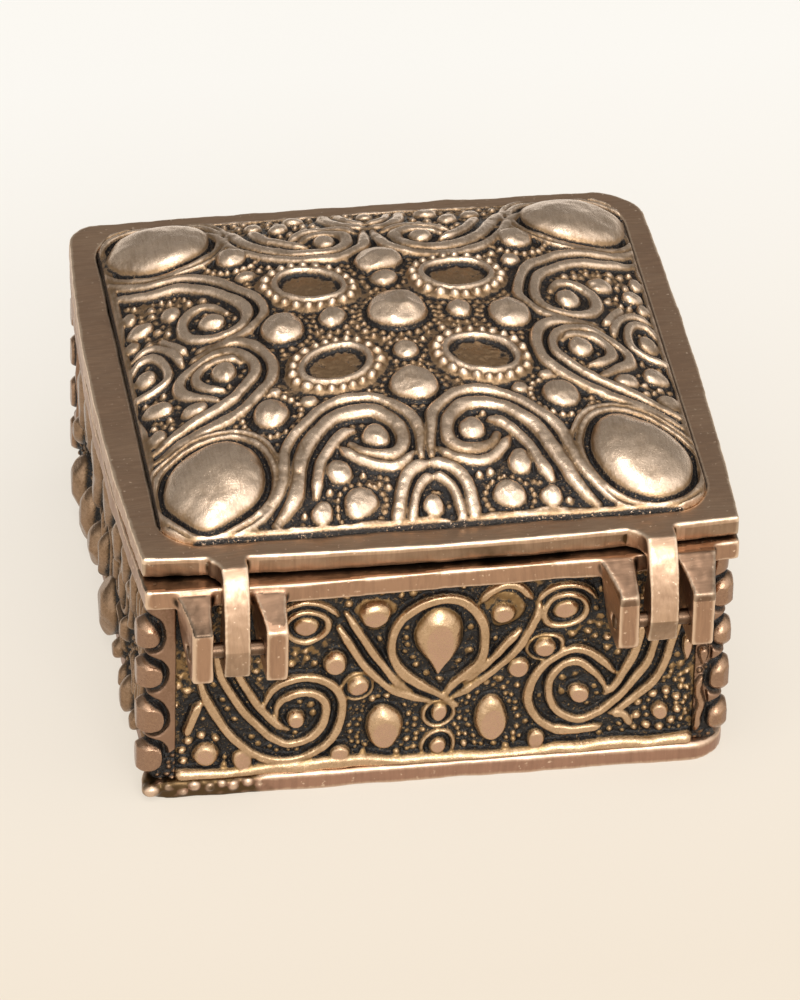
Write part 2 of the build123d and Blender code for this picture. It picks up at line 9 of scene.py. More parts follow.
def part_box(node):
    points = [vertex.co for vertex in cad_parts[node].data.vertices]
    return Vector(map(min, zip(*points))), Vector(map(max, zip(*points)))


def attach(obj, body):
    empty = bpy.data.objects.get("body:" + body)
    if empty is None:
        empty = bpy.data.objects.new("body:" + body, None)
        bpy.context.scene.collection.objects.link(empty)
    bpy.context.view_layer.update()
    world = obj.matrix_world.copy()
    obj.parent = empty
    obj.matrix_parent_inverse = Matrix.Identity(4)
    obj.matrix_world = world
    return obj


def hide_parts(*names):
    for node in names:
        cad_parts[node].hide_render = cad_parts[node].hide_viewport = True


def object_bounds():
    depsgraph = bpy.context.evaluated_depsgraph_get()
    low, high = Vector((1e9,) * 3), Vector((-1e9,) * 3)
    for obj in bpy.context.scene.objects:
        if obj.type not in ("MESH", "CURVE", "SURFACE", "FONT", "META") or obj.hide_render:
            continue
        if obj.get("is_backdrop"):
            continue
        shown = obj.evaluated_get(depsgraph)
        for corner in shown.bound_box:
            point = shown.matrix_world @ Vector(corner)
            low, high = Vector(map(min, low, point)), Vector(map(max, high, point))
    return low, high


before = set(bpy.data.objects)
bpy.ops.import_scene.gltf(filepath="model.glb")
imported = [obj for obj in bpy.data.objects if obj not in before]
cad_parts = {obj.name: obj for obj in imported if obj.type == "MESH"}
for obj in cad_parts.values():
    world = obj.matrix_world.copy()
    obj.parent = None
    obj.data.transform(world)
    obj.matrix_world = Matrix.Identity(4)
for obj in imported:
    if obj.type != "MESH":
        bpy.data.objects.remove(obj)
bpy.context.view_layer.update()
MM = 0.001

# Viewpoint. The box is seen from behind and above, from so far off that its
# edges hardly converge. All angles are in degrees, and all lengths in millimetres.
view_azimuth = 170.315
view_elevation = 35.245
view_roll = 1.552
view_distance = 1350.85
view_target = (-0.111, 5.735, 24.651)
view_lens = 315.41

azimuth = math.radians(view_azimuth)
elevation = math.radians(view_elevation)
roll = math.radians(view_roll)
toward_camera = Vector((math.sin(azimuth) * math.cos(elevation), -math.cos(azimuth) * math.cos(elevation),
                        math.sin(elevation)))
level_right = (-toward_camera).cross(Vector((0, 0, 1))).normalized()
level_up = level_right.cross(-toward_camera)
camera_right = level_right * math.cos(roll) + level_up * math.sin(roll)
camera_up = level_up * math.cos(roll) - level_right * math.sin(roll)
camera = bpy.data.objects.new("camera", bpy.data.cameras.new("camera"))
bpy.context.scene.collection.objects.link(camera)
turned = Matrix((camera_right, camera_up, toward_camera)).transposed().to_4x4()
turned.translation = (Vector(view_target) + toward_camera * view_distance) * MM
camera.matrix_world = turned
camera.data.lens = view_lens
camera.data.clip_end = 10
bpy.context.scene.camera = camera
bpy.context.scene.view_settings.view_transform = "Standard"

# Studio. A cream paper sweep that glows a little, so that the box's shadow on it stays
# faint, with a painted falloff of light that makes it darker and warmer towards the camera, and a wide low
# window behind the camera, which is what the brass mirrors. Lengths are in metres.
floor_far = (0.956, 0.930, 0.871, 1)
floor_near = (0.871, 0.768, 0.631, 1)
floor_glow = 0.735
floor_share = (0.22, 0.225, 0.24)
floor_far_y = -0.155
floor_near_y = 0.094
sweep_size = 6.0


def new_material(name):
    """A material with an empty node tree but for its output and Principled shader."""
    material = bpy.data.materials.new(name)
    material.use_nodes = True
    tree = material.node_tree
    tree.nodes.clear()
    output = tree.nodes.new("ShaderNodeOutputMaterial")
    shader = tree.nodes.new("ShaderNodeBsdfPrincipled")
    tree.links.new(shader.outputs["BSDF"], output.inputs["Surface"])
    return material, tree, shader


def add_node(tree, kind, inputs=None, **settings):
    """A new node with its settings, and its inputs set to values or linked to sockets."""
    node = tree.nodes.new(kind)
    for name, value in settings.items():
        setattr(node, name, value)
    for name, value in (inputs or {}).items():
        if isinstance(value, bpy.types.NodeSocket):
            tree.links.new(value, node.inputs[name])
        else:
            node.inputs[name].default_value = value
    return node


def ramp(tree, value, stops):
    """A colour ramp over a socket, from (place, colour) stops."""
    node = add_node(tree, "ShaderNodeValToRGB", {"Fac": value})
    elements = node.color_ramp.elements
    elements[0].position, elements[0].color = stops[0]
    elements[1].position, elements[1].color = stops[-1]
    for place, colour in stops[1:-1]:
        elements.new(place).color = colour
    return node.outputs["Color"]


floor_mesh = bpy.data.meshes.new("studio_floor")
half_sweep = sweep_size / 2
floor_mesh.from_pydata([(-half_sweep, -half_sweep, 0), (half_sweep, -half_sweep, 0),
                        (half_sweep, half_sweep, 0), (-half_sweep, half_sweep, 0)], [], [(0, 1, 2, 3)])
studio_floor = bpy.data.objects.new("studio_floor", floor_mesh)
bpy.context.scene.collection.objects.link(studio_floor)
floor_material, tree, shader = new_material("pale_paper")
place = add_node(tree, "ShaderNodeNewGeometry")
split = add_node(tree, "ShaderNodeSeparateXYZ", {"Vector": place.outputs["Position"]})
across = add_node(tree, "ShaderNodeMapRange", {"Value": split.outputs["Y"], "From Min": floor_far_y,
                                                "From Max": floor_near_y})
# The paper's colour ramps darker and warmer towards the camera: a painted falloff of the light on the sweep
cream_and_falloff = ramp(tree, across.outputs["Result"], [(0, floor_far), (1, floor_near)])
lit = add_node(tree, "ShaderNodeVectorMath", {0: cream_and_falloff, 1: floor_share}, operation="MULTIPLY")
tree.links.new(lit.outputs[0], shader.inputs["Base Color"])
tree.links.new(cream_and_falloff, shader.inputs["Emission Color"])
shader.inputs["Emission Strength"].default_value = floor_glow
shader.inputs["Roughness"].default_value = 0.9
floor_mesh.materials.append(floor_material)
studio_floor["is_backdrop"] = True


def area_light(name, place, size, power, colour=(1, 1, 1)):
    """A square soft light, aimed at the box."""
    light = bpy.data.lights.new(name, "AREA")
    light.size = size
    light.energy = power
    light.color = colour
    lamp = bpy.data.objects.new(name, light)
    bpy.context.scene.collection.objects.link(lamp)
    lamp.location = place
    lamp.rotation_euler = (Vector((0, 0, 0.03)) - Vector(place)).to_track_quat("-Z", "Y").to_euler()
    return lamp


area_light("ceiling_softbox", (0.10, 0.30, 1.30), 0.5, 3.0, (1.0, 0.98, 0.95))
area_light("window", (-0.1, 1.6, 0.95), 0.8, 13.0, (1.0, 0.98, 0.95))

window_direction = (-0.12, 0.965, 0.235)
world = bpy.data.worlds.new("studio_air")
bpy.context.scene.world = world
world.use_nodes = True
tree = world.node_tree
tree.nodes.clear()
direction = add_node(tree, "ShaderNodeTexCoord")
toward_window = add_node(tree, "ShaderNodeVectorMath", {0: direction.outputs["Generated"],
                                                        1: window_direction}, operation="DOT_PRODUCT")
nearness = add_node(tree, "ShaderNodeMapRange", {"Value": toward_window.outputs["Value"], "From Min": -1.0,
                                                 "From Max": 1.0})
sky = ramp(tree, nearness.outputs["Result"], [
    (0.0, (0.26, 0.25, 0.235, 1)), (0.36, (0.33, 0.315, 0.29, 1)), (0.54, (0.70, 0.675, 0.635, 1)),
    (0.68, (1.25, 1.21, 1.15, 1)), (0.88, (1.6, 1.555, 1.47, 1)), (1.0, (1.8, 1.75, 1.66, 1))])
background = add_node(tree, "ShaderNodeBackground", {"Color": sky, "Strength": 1.0})
add_node(tree, "ShaderNodeOutputWorld", {"Surface": background.outputs["Background"]})

# Domed lid panel. One cast brass plate, a pillow in shape, with beads, bezels and
# scrolled ribs modelled in wax by hand, then polished so that only the hollows keep their dark skin.
opening_half_x = 41.7
opening_half_y = 42.3
opening_corner = 6.5
dome_half = 43.0
dome_height = 8.3
rim_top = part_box("lid_rim")[1].z / MM
panel_edge = rim_top - 0.3
panel_thickness = 3.0
carving_cell = 0.125


class Carving:
    """A relief on a flat board: heights in millimetres on a fine square grid."""

    def __init__(self, half_x, low_y, high_y, seed):
        self.x = np.arange(-half_x, half_x + carving_cell, carving_cell)
        self.y = np.arange(low_y, high_y + carving_cell, carving_cell)
        self.height = np.zeros((len(self.y), len(self.x)))
        self.facet = np.zeros_like(self.height)
        self.random = np.random.default_rng(seed)

    def window(self, x, y, reach):
        """The slices and coordinates of the grid within a distance of a point."""
        i = np.searchsorted(self.x, (x - reach, x + reach))
        j = np.searchsorted(self.y, (y - reach, y + reach))
        area = (slice(*j), slice(*i))
        return area, self.x[None, area[1]] - x, self.y[area[0], None] - y

    def stamp(self, area, top, filed=0.0):
        """Adds a shape wherever it stands above what is there, and marks where it is filed flat."""
        higher = top > self.height[area]
        self.height[area] = np.where(higher, top, self.height[area])
        self.facet[area] = np.where(higher, filed, self.facet[area])

    def boss(self, x, y, half_x, half_y=None, turn=0.0, rise=1.0, cut=1.0, lean=(0.0, 0.0), dents=0,
             filed=1.0):
        """A ball-like boss. cut files its top flat at a share of its rise, lean slants that cut,
        and dents is the number of flat places that the hammer left on its flanks."""
        half_y = half_y or half_x
        area, dx, dy = self.window(x, y, 1.3 * max(half_x, half_y))
        turn = math.radians(turn)
        along = (dx * math.cos(turn) + dy * math.sin(turn)) / half_x
        across = (-dx * math.sin(turn) + dy * math.cos(turn)) / half_y
        ball = 1 - (along ** 2 + across ** 2) ** 1.25
        top = np.where(ball > 0, rise * np.sqrt(np.maximum(ball, 0)), -1.0)
        for _ in range(dents):
            heading = self.random.uniform(0, 2 * math.pi)
            reach = self.random.uniform(0.3, 0.75)
            slope = reach / math.sqrt(1 - reach ** 2)
            out = along * math.cos(heading) + across * math.sin(heading)
            top = np.minimum(top, rise * (0.96 * math.sqrt(1 + slope ** 2) - slope * out))
        level = rise * cut + lean[0] * dx + lean[1] * dy if cut < 1 else rise + 1
        self.stamp(area, np.minimum(top, level), filed * (top > level))

    def drop(self, x, y, half_x, above, below, rise, cut=0.85):
        """A filed boss, round above and drawn out to a point below; y is where it is widest."""
        area, dx, dy = self.window(x, y, 1.1 * max(above, below))
        down = np.clip(-dy / below, 0, 1)
        wide = half_x * np.cos(down * math.pi / 2) + 1e-6
        ball = 1 - (dx / wide) ** 2 - np.where(dy > 0, (dy / above) ** 2, 0.6 * down ** 3)
        top = np.where((ball > 0) & (-dy < below), rise * np.maximum(ball, 0) ** 0.6, -1.0)
        level = rise * cut + 0.05 * dy
        self.stamp(area, np.minimum(top, level), 1.0 * (top > level))

    def sink(self, x, y, half_x, half_y, turn, level):
        """A flat oval floor, cut down through whatever stands there."""
        area, dx, dy = self.window(x, y, 1.1 * max(half_x, half_y))
        turn = math.radians(turn)
        along = (dx * math.cos(turn) + dy * math.sin(turn)) / half_x
        across = (-dx * math.sin(turn) + dy * math.cos(turn)) / half_y
        inside = along ** 2 + across ** 2 < 1
        self.height[area] = np.where(inside, level, self.height[area])
        self.facet[area] = np.where(inside, 0.0, self.facet[area])

    def rib(self, points, width=0.62, rise=0.95, ends=0.6, cut=1.0):
        """A rib along a smooth line through a few points, thinning at its ends; cut flattens its top."""
        line = smooth_line(points)
        count = len(line)
        for step, (x, y) in enumerate(line):
            nearness = min(step, count - 1 - step) / count
            share = ends + (1 - ends) * min(1.0, nearness / 0.12)
            area, dx, dy = self.window(x, y, width)
            ball = 1 - (np.hypot(dx, dy) / (width * share)) ** 3
            top = np.minimum(np.maximum(ball, 0) ** 0.6, cut) / cut
            self.stamp(area, np.where(ball > 0, rise * share * top, -1.0))

    def oval_line(self, x, y, half_x, half_y, turn=0.0, start=0.0, end=360.0):
        """Points round an oval, or round a part of it from start to end in degrees."""
        sweep = np.radians(np.linspace(start, end, 25))
        turn = math.radians(turn)
        along, across = half_x * np.cos(sweep), half_y * np.sin(sweep)
        return [(x + a * math.cos(turn) - b * math.sin(turn), y + a * math.sin(turn) + b * math.cos(turn))
                for a, b in zip(along, across)]

    def ring(self, x, y, half_x, half_y, width, rise, turn=0.0):
        """A rib bent into a closed oval."""
        self.rib(self.oval_line(x, y, half_x, half_y, turn), width, rise, ends=1.0)

    def beaded_ring(self, x, y, half_x, half_y, turn, bead, rise, gap=1.0):
        """A ring of small knobs round an oval, evenly spaced but for the maker's hand."""
        line = np.array(smooth_line(self.oval_line(x, y, half_x, half_y, turn)))
        count = int(len(line) * line_step / (2 * bead * gap))
        for index in np.linspace(0, len(line), count, endpoint=False).astype(int):
            place = line[index] + self.random.normal(0, 0.06, 2)
            self.boss(*place, bead * self.random.uniform(0.9, 1.12), rise=rise, dents=2)

    def granules(self, low, high, tries, size=0.40, rise=0.5):
        """Fine balls of wax scattered over bare ground inside a rectangle."""
        spots = self.random.uniform(low, high, (tries, 2))
        for x, y in spots:
            area, _, _ = self.window(x, y, size * 1.15)
            if self.height[area].size and self.height[area].max() < 0.08:
                self.boss(x, y, size * self.random.uniform(0.7, 1.2), rise=rise)


line_step = 0.1


def smooth_line(points):
    """Evenly spaced points on a Catmull-Rom curve through the given ones."""
    p = np.array(points, float)
    p = np.vstack([2 * p[0] - p[1], p, 2 * p[-1] - p[-2]])
    t = np.linspace(0, 1, 24, endpoint=False)[:, None]
    spans = [0.5 * (2 * b + (c - a) * t + (2 * a - 5 * b + 4 * c - d) * t ** 2
                    + (3 * b - a - 3 * c + d) * t ** 3)
             for a, b, c, d in zip(p, p[1:], p[2:], p[3:])]
    curve = np.vstack([*spans, p[-2:-1]])
    length = np.concatenate([[0], np.cumsum(np.hypot(*np.diff(curve, axis=0).T))])
    steps = np.arange(0, length[-1], line_step)
    return np.stack([np.interp(steps, length, curve[:, k]) for k in (0, 1)], 1)


def blurred(field, reach):
    """The field softened over a distance in millimetres."""
    rows = np.fft.fftfreq(field.shape[0] * 2)[:, None]
    columns = np.fft.rfftfreq(field.shape[1] * 2)[None, :]
    falloff = np.exp(-2 * (math.pi * reach / carving_cell) ** 2 * (rows ** 2 + columns ** 2))
    padded = np.pad(field, ((0, field.shape[0]), (0, field.shape[1])), mode="symmetric")
    return np.fft.irfft2(np.fft.rfft2(padded) * falloff, padded.shape)[:field.shape[0], :field.shape[1]]


def unevenness(shape, reach, seed):
    """Smooth random unevenness about one in size, with features of the given size in millimetres."""
    field = blurred(np.random.default_rng(seed).normal(0, 1, shape), reach)
    return field / field.std()


def sampled(field, carving, x, y):
    """The field's value between grid points."""
    i = np.clip((x - carving.x[0]) / carving_cell, 0, len(carving.x) - 1.001)
    j = np.clip((y - carving.y[0]) / carving_cell, 0, len(carving.y) - 1.001)
    i0, j0 = i.astype(int), j.astype(int)
    fi, fj = i - i0, j - j0
    return ((field[j0, i0] * (1 - fi) + field[j0, i0 + 1] * fi) * (1 - fj)
            + (field[j0 + 1, i0] * (1 - fi) + field[j0 + 1, i0 + 1] * fi) * fj)


hand_wander = 0.22
groove_reach = 0.55
relief_reach = 2.0


def finish_casting(carving, seed, softness=0.09, roughness=0.05, soot=0.42):
    """Softens the wax edges, bends everything a little, and measures wear and hollows.

    softness and roughness are in millimetres, and soot is how dark the bare ground is."""
    wander_x = hand_wander * unevenness(carving.height.shape, 2.2, seed)
    wander_y = hand_wander * unevenness(carving.height.shape, 2.2, seed + 1)
    grid_x, grid_y = np.meshgrid(carving.x, carving.y)
    field = sampled(carving.height, carving, grid_x + wander_x, grid_y + wander_y)
    facet = sampled(carving.facet, carving, grid_x + wander_x, grid_y + wander_y)
    field += 0.09 * np.clip(field, 0, 1) * unevenness(field.shape, 1.6, seed + 2)
    field = blurred(field, softness)
    facet = blurred(facet, 0.08)
    field += roughness * unevenness(field.shape, 0.22, seed + 4) * (1 - facet) * np.exp(-field / 1.2)
    field += 0.7 * roughness * unevenness(field.shape, 0.6, seed + 5) * (1 - 0.6 * facet)
    near = field - blurred(field, groove_reach)
    wide = field - blurred(field, relief_reach)
    carving.height = field
    carving.facet = facet
    wear = np.clip(0.34 + 0.9 * wide + 1.1 * near + 0.17 * field, 0, 1)
    hollow = np.clip(soot * (np.exp(-np.maximum(field, 0) / 0.3) - 2.2 * wide) - 0.2 - 1.5 * near, 0, 1)
    carving.wear = blurred(wear, 0.1)
    carving.hollow = blurred(hollow, 0.1)


def slab_mesh(name, columns, rows, front, back, stride):
    """A closed plate: a fine front grid, a coarse back grid and edge faces that join them.

    front and back take grids of s and t from -1 to 1 and return positions in millimetres."""
    s, t = np.meshgrid(np.linspace(-1, 1, columns + 1), np.linspace(-1, 1, rows + 1))
    face_points = front(s, t).reshape(-1, 3)
    back_points = back(s[::stride, ::stride], t[::stride, ::stride]).reshape(-1, 3)
    wide, tall = columns + 1, rows + 1
    corner = (np.arange(rows)[:, None] * wide + np.arange(columns)[None, :]).ravel()
    quads = np.stack([corner, corner + 1, corner + wide + 1, corner + wide], 1)
    back_wide = columns // stride + 1
    offset = len(face_points)
    far = (np.arange(rows // stride)[:, None] * back_wide + np.arange(columns // stride)[None, :]).ravel()
    back_quads = offset + np.stack([far, far + back_wide, far + back_wide + 1, far + 1], 1)
    faces = quads.tolist() + back_quads.tolist()
    rim = [(0, k) for k in range(wide)] + [(k, wide - 1) for k in range(1, tall)]
    rim += [(tall - 1, k) for k in range(wide - 2, -1, -1)] + [(k, 0) for k in range(tall - 2, 0, -1)]
    for start in range(0, len(rim), stride):
        run = [rim[(start + k) % len(rim)] for k in range(stride + 1)]
        low = [offset + (j // stride) * back_wide + i // stride for j, i in (run[-1], run[0])]
        faces.append([j * wide + i for j, i in reversed(run)] + [low[1], low[0]])
    mesh = bpy.data.meshes.new(name)
    mesh.from_pydata((np.vstack([face_points, back_points]) * MM).tolist(), [], faces)
    mesh.shade_smooth()
    return mesh, s.ravel(), t.ravel(), len(back_points)


def paint(mesh, carving, x, y, back_count):
    """Stores the carving's wear, hollows and filed facets on the mesh's points."""
    for name in ("wear", "hollow", "facet"):
        layer = mesh.attributes.new(name, "FLOAT", "POINT")
        values = sampled(getattr(carving, name), carving, x, y)
        layer.data.foreach_set("value", np.concatenate([values, np.full(back_count, 0.2)]).astype(np.float32))


def place_piece(mesh, name, body, node, material):
    """The finished piece, riding on its body in place of its plain node."""
    piece = bpy.data.objects.new(name, mesh)
    bpy.context.scene.collection.objects.link(piece)
    mesh.materials.append(material)
    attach(piece, body)
    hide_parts(node)
    return piece


lid = Carving(opening_half_x + 1, -opening_half_y - 1, opening_half_y + 1, seed=4)

# The bosses between the bezels: x, y, half width, half length and rise
middle_bosses = (
    (-0.4, -3.5, 5.1, 5.2, 3.2), (17.8, -1.6, 3.5, 3.9, 2.5), (-17.7, -1.6, 3.5, 3.9, 2.5),
    (0.2, -18.3, 3.7, 3.6, 2.5), (-0.2, 16.0, 3.8, 4.0, 2.6), (9.4, -3.2, 2.3, 2.3, 1.6),
    (-9.9, -3.2, 2.0, 2.4, 1.6), (0.1, -13.0, 2.2, 2.0, 1.6), (0.0, 7.2, 2.3, 2.2, 1.6),
)
for x, y, half_x, half_y, rise in middle_bosses:
    lid.beaded_ring(x, y, half_x + 0.9, half_y + 0.9, 0, 0.45, 0.5, gap=1.5)
    lid.boss(x, y, half_x, half_y, 0, rise, cut=0.94, dents=int(2 * half_x), filed=0.0)

# Four bezels that hold no stone, each a beaded band round a lip and a sunken floor: x, y and turn
bezels = ((12.0, -12.6, -24), (-11.3, -13.2, 9), (10.9, 9.1, 26), (-11.5, 8.8, -32))
for x, y, turn in bezels:
    lid.boss(x, y, 8.2, 7.1, turn, rise=1.1, cut=0.75, filed=0.0)
    lid.beaded_ring(x, y, 6.95, 5.85, turn, 0.78, 1.45, gap=1.18)
    lid.ring(x, y, 5.5, 4.4, 0.75, 1.3, turn)
    lid.sink(x, y, 4.95, 3.8, turn, 0.1)

# Corner domes with ribs wrapped round them: x, y, half length, half width, turn
corner_domes = ((32.4, 31.7, 9.0, 7.5, 66), (-32.4, 31.7, 9.0, 7.5, -66),
                (32.6, -32.6, 8.7, 7.5, 25), (-32.6, -32.6, 8.7, 7.5, -25))
for x, y, half_x, half_y, turn in corner_domes:
    for grow, size in ((2.5, 0.5), (1.35, 0.7)):
        lid.ring(x, y, half_x + grow, half_y + grow, size, 1.1, turn)
    lid.boss(x, y, half_x, half_y, turn, rise=3.3)

# Scrolls that sweep from the rear edge round a boss, with the half width of each rib. The front
# ones are the same but flatter.
end_scroll = (
    (0.85, ((27.6, 40.8), (25.8, 38.6), (23.8, 36.1), (22.4, 33.3), (21.8, 30.4), (21.1, 27.7), (20.0, 25.6),
            (18.1, 23.1), (15.9, 20.6), (13.5, 18.8), (11.0, 18.0), (8.2, 17.9), (5.6, 18.7), (3.3, 20.7),
            (1.7, 22.9), (1.0, 25.5), (0.8, 28.0), (0.8, 31.0))),
    (1.0, ((24.2, 40.7), (22.4, 38.3), (21.0, 36.0), (20.2, 33.6), (19.6, 31.3), (18.7, 29.0), (17.3, 26.4),
           (15.5, 24.1), (13.3, 22.0), (10.8, 21.0), (8.6, 20.8), (6.5, 21.2), (4.8, 22.7), (3.7, 24.7),
           (3.4, 26.9), (3.9, 28.8), (5.2, 30.1), (6.9, 30.5), (8.8, 30.0), (10.1, 29.0), (11.0, 27.6))),
    (0.7, ((1.9, 29.8), (3.4, 31.4), (5.2, 32.4), (7.2, 32.6), (9.0, 32.2), (10.6, 31.1), (11.8, 29.6),
           (12.7, 28.3))),
    (0.8, ((17.9, 36.4), (17.0, 33.3), (15.9, 30.3), (14.1, 27.8), (12.1, 25.5), (10.5, 24.5))),
    (0.9, ((6.0, 42.0), (5.8, 39.2), (5.3, 36.5), (4.0, 34.2), (2.3, 32.9), (0.0, 32.3))),
    (0.7, ((4.0, 41.8), (3.7, 39.2), (2.9, 36.9), (1.4, 35.4), (0.0, 35.0))),
)
# Scrolls along each side, two of them with an eye between
side_scroll = (
    (0.45, ((39.8, -25.7), (35.7, -23.5), (32.3, -23.0), (29.5, -24.0), (26.9, -25.9), (25.0, -28.2))),
    (0.7, ((40.5, -24.3), (37.9, -22.9), (35.2, -21.9), (32.4, -21.5), (29.5, -20.8), (26.4, -19.3),
           (23.5, -16.7), (21.6, -13.5), (20.3, -10.2), (19.9, -7.6), (20.6, -5.4), (22.4, -2.9),
           (24.8, -1.1), (26.9, -0.4), (29.0, -0.4), (30.9, -0.5))),
    (0.8, ((40.8, -22.2), (38.2, -20.4), (35.5, -19.2), (32.8, -18.7), (29.9, -17.9), (26.8, -16.0),
           (24.4, -13.6), (22.9, -10.3), (22.5, -7.2), (23.3, -4.7), (24.7, -3.2), (26.6, -2.4),
           (28.8, -2.3), (31.0, -3.6), (32.0, -5.7), (31.8, -8.7), (30.4, -10.8), (28.5, -11.9),
           (26.7, -11.2), (25.4, -9.2))),
    (0.85, ((31.6, 1.1), (29.8, 0.7), (27.0, 0.1), (24.4, 0.2), (22.2, 1.5), (20.8, 3.8), (20.2, 6.9),
            (20.9, 10.3), (22.8, 13.2), (25.2, 15.5), (28.3, 17.5), (31.0, 18.7), (33.7, 19.8), (37.4, 21.2),
            (40.8, 23.0))),
    (0.8, ((41.4, 20.6), (39.6, 19.8), (36.4, 18.3), (33.2, 16.6), (30.0, 15.0), (27.3, 13.4), (25.3, 11.3),
           (23.4, 8.8), (22.9, 6.8), (23.4, 4.8), (24.6, 3.1), (26.5, 2.1), (28.8, 1.9), (31.1, 2.9),
           (33.1, 4.6), (34.3, 6.5), (34.3, 8.7), (32.7, 10.7), (29.8, 13.0))),
    (0.7, ((24.8, 5.0), (26.3, 3.9), (28.8, 3.7), (30.7, 4.6), (31.9, 6.5), (31.7, 8.6), (30.3, 10.1),
           (28.5, 10.7))),
    (0.65, ((40.7, -1.2), (39.6, -3.0), (37.5, -2.6), (36.0, -0.4), (35.5, 2.2), (36.0, 4.6), (37.9, 6.0),
            (40.0, 6.3), (41.9, 5.6))),
    (0.6, ((40.3, -4.6), (38.1, -5.1), (36.1, -4.0), (34.1, -1.0), (33.3, 1.5))),
    (0.6, ((35.8, -6.1), (34.0, -3.4), (32.6, -0.8))),
)
front_flatness = 0.78
front_shift = 5.94
# Bosses that stand in pairs at x and -x: x, y, half width, half length and rise
paired_bosses = (
    (22.4, 18.8, 2.9, 3.2, 2.0), (22.3, -25.0, 2.8, 2.9, 2.0), (7.3, 26.3, 2.2, 2.6, 1.9),
    (7.1, -26.3, 2.1, 2.2, 1.7), (27.6, 6.7, 2.1, 2.3, 1.9), (27.8, -6.8, 2.1, 2.3, 1.9),
    (13.8, 32.8, 2.0, 2.4, 1.6), (11.3, 38.4, 2.6, 2.6, 1.7), (17.4, 39.4, 1.9, 2.0, 1.4),
    (38.0, 10.9, 2.3, 1.9, 1.5), (33.3, 13.7, 2.0, 1.8, 1.4), (39.4, 17.4, 1.7, 1.9, 1.3),
    (38.4, -10.9, 2.0, 1.9, 1.5), (33.3, -12.6, 2.0, 1.9, 1.5), (39.6, -15.4, 1.2, 1.6, 1.1),
    (39.7, -8.0, 1.3, 1.5, 1.1), (38.8, 1.9, 1.8, 2.1, 1.3), (16.4, 17.4, 1.5, 1.4, 1.2),
    (20.6, -18.0, 1.6, 1.4, 1.2), (20.6, 13.8, 1.3, 1.2, 1.1), (13.4, -34.2, 1.7, 1.8, 1.4),
    (10.4, -37.6, 1.9, 1.7, 1.5), (17.2, -36.8, 1.6, 1.5, 1.2), (26.6, 22.2, 0.9, 0.9, 0.8),
)
for side in (1, -1):
    for width, path in end_scroll:
        lid.rib([(side * x, y) for x, y in path], 1.38 * width, 1.3)
        lid.rib([(side * x, -front_shift - front_flatness * y) for x, y in path], 1.2 * width, 1.2)
    for width, path in side_scroll:
        lid.rib([(side * x, y) for x, y in path], 1.38 * width, 1.25)
    for y in (18.8, -25.0):
        lid.beaded_ring(side * 22.4, y, 4.5, 4.6, 0, 0.6, 0.8, gap=1.05)
    lid.beaded_ring(side * 11.3, 38.6, 3.6, 3.5, 0, 0.45, 0.6, gap=1.2)
    for x, y, half_x, half_y, rise in paired_bosses:
        lid.boss(side * x, y, half_x, half_y, 0, rise, cut=0.93, dents=int(2 * half_x), filed=0.0)
lid.boss(0.6, 39.6, 1.9, 1.8, 0, 1.5, dents=3)
lid.boss(-0.3, -38.2, 1.6, 1.4, 0, 1.3, dents=3)

# A narrow flat border inside the rim
board_x, board_y = np.meshgrid(lid.x, lid.y)
border = np.minimum(opening_half_x - np.abs(board_x), opening_half_y - np.abs(board_y))
lid.height = np.where(border < 1.2, np.maximum(lid.height, 0.75), lid.height)
lid.granules((-41, -42), (41, 42), 9000, size=0.66, rise=0.75)
lid.granules((-41, -42), (41, 42), 9000, size=0.4, rise=0.5)
finish_casting(lid, seed=20, soot=0.16)
lid.hollow = np.maximum(lid.hollow, np.clip(0.9 - border / 0.4, 0, 1))


def curve_share(t):
    """The pillow's height along one axis, from 0 at its edges to 1 in the middle."""
    return 1 - (t ** 2 + t ** 4) / 2


def pillow(x, y):
    """Height of the smooth pillow surface."""
    return panel_edge + dome_height * curve_share(x / dome_half) * curve_share(y / dome_half)


def rounded_plan(s, t, half_x, half_y, corner):
    """Spreads a square grid over a rectangle with round corners."""
    y = t * half_y
    over = np.maximum(np.abs(y) - (half_y - corner), 0)
    inset = corner - np.sqrt(np.maximum(corner ** 2 - over ** 2, 0))
    return s * (half_x - inset), y


def lid_front(s, t):
    """The carved face, which dips a little into the seam at its edge."""
    x, y = rounded_plan(s, t, opening_half_x, opening_half_y, opening_corner)
    edge = np.clip((1 - np.maximum(np.abs(s), np.abs(t))) / 0.012, 0, 1)
    return np.stack([x, y, pillow(x, y) + (sampled(lid.height, lid, x, y) + 0.25) * edge - 0.25], -1)


def lid_back(s, t):
    """The plain inner face."""
    x, y = rounded_plan(s, t, opening_half_x, opening_half_y, opening_corner)
    return np.stack([x, y, pillow(x, y) - panel_thickness], -1)


def new_group(name, colours, values):
    """A shader node group that takes colours and gives one colour and a few values."""
    group = bpy.data.node_groups.new(name, "ShaderNodeTree")
    for colour in colours:
        group.interface.new_socket(colour, in_out="INPUT", socket_type="NodeSocketColor")
    group.interface.new_socket("Colour", in_out="OUTPUT", socket_type="NodeSocketColor")
    for value in values:
        group.interface.new_socket(value, in_out="OUTPUT", socket_type="NodeSocketFloat")
    return group, add_node(group, "NodeGroupInput"), add_node(group, "NodeGroupOutput")


def painted(tree, name):
    """A value that was stored on the mesh's points."""
    return add_node(tree, "ShaderNodeAttribute", attribute_name=name).outputs["Fac"]


def noise(tree, place, scale, detail, roughness=0.5):
    """Noise about 0.5, with its grains counted over a metre."""
    return add_node(tree, "ShaderNodeTexNoise", {"Vector": place, "Scale": scale, "Detail": detail,
                                                 "Roughness": roughness}).outputs["Fac"]


def mapped(tree, value, low, high, new_low=0.0, new_high=1.0, curve="LINEAR"):
    """A range of a value carried over to a new range."""
    return add_node(tree, "ShaderNodeMapRange", {"Value": value, "From Min": low, "From Max": high,
                                                 "To Min": new_low, "To Max": new_high},
                    interpolation_type=curve).outputs[0]


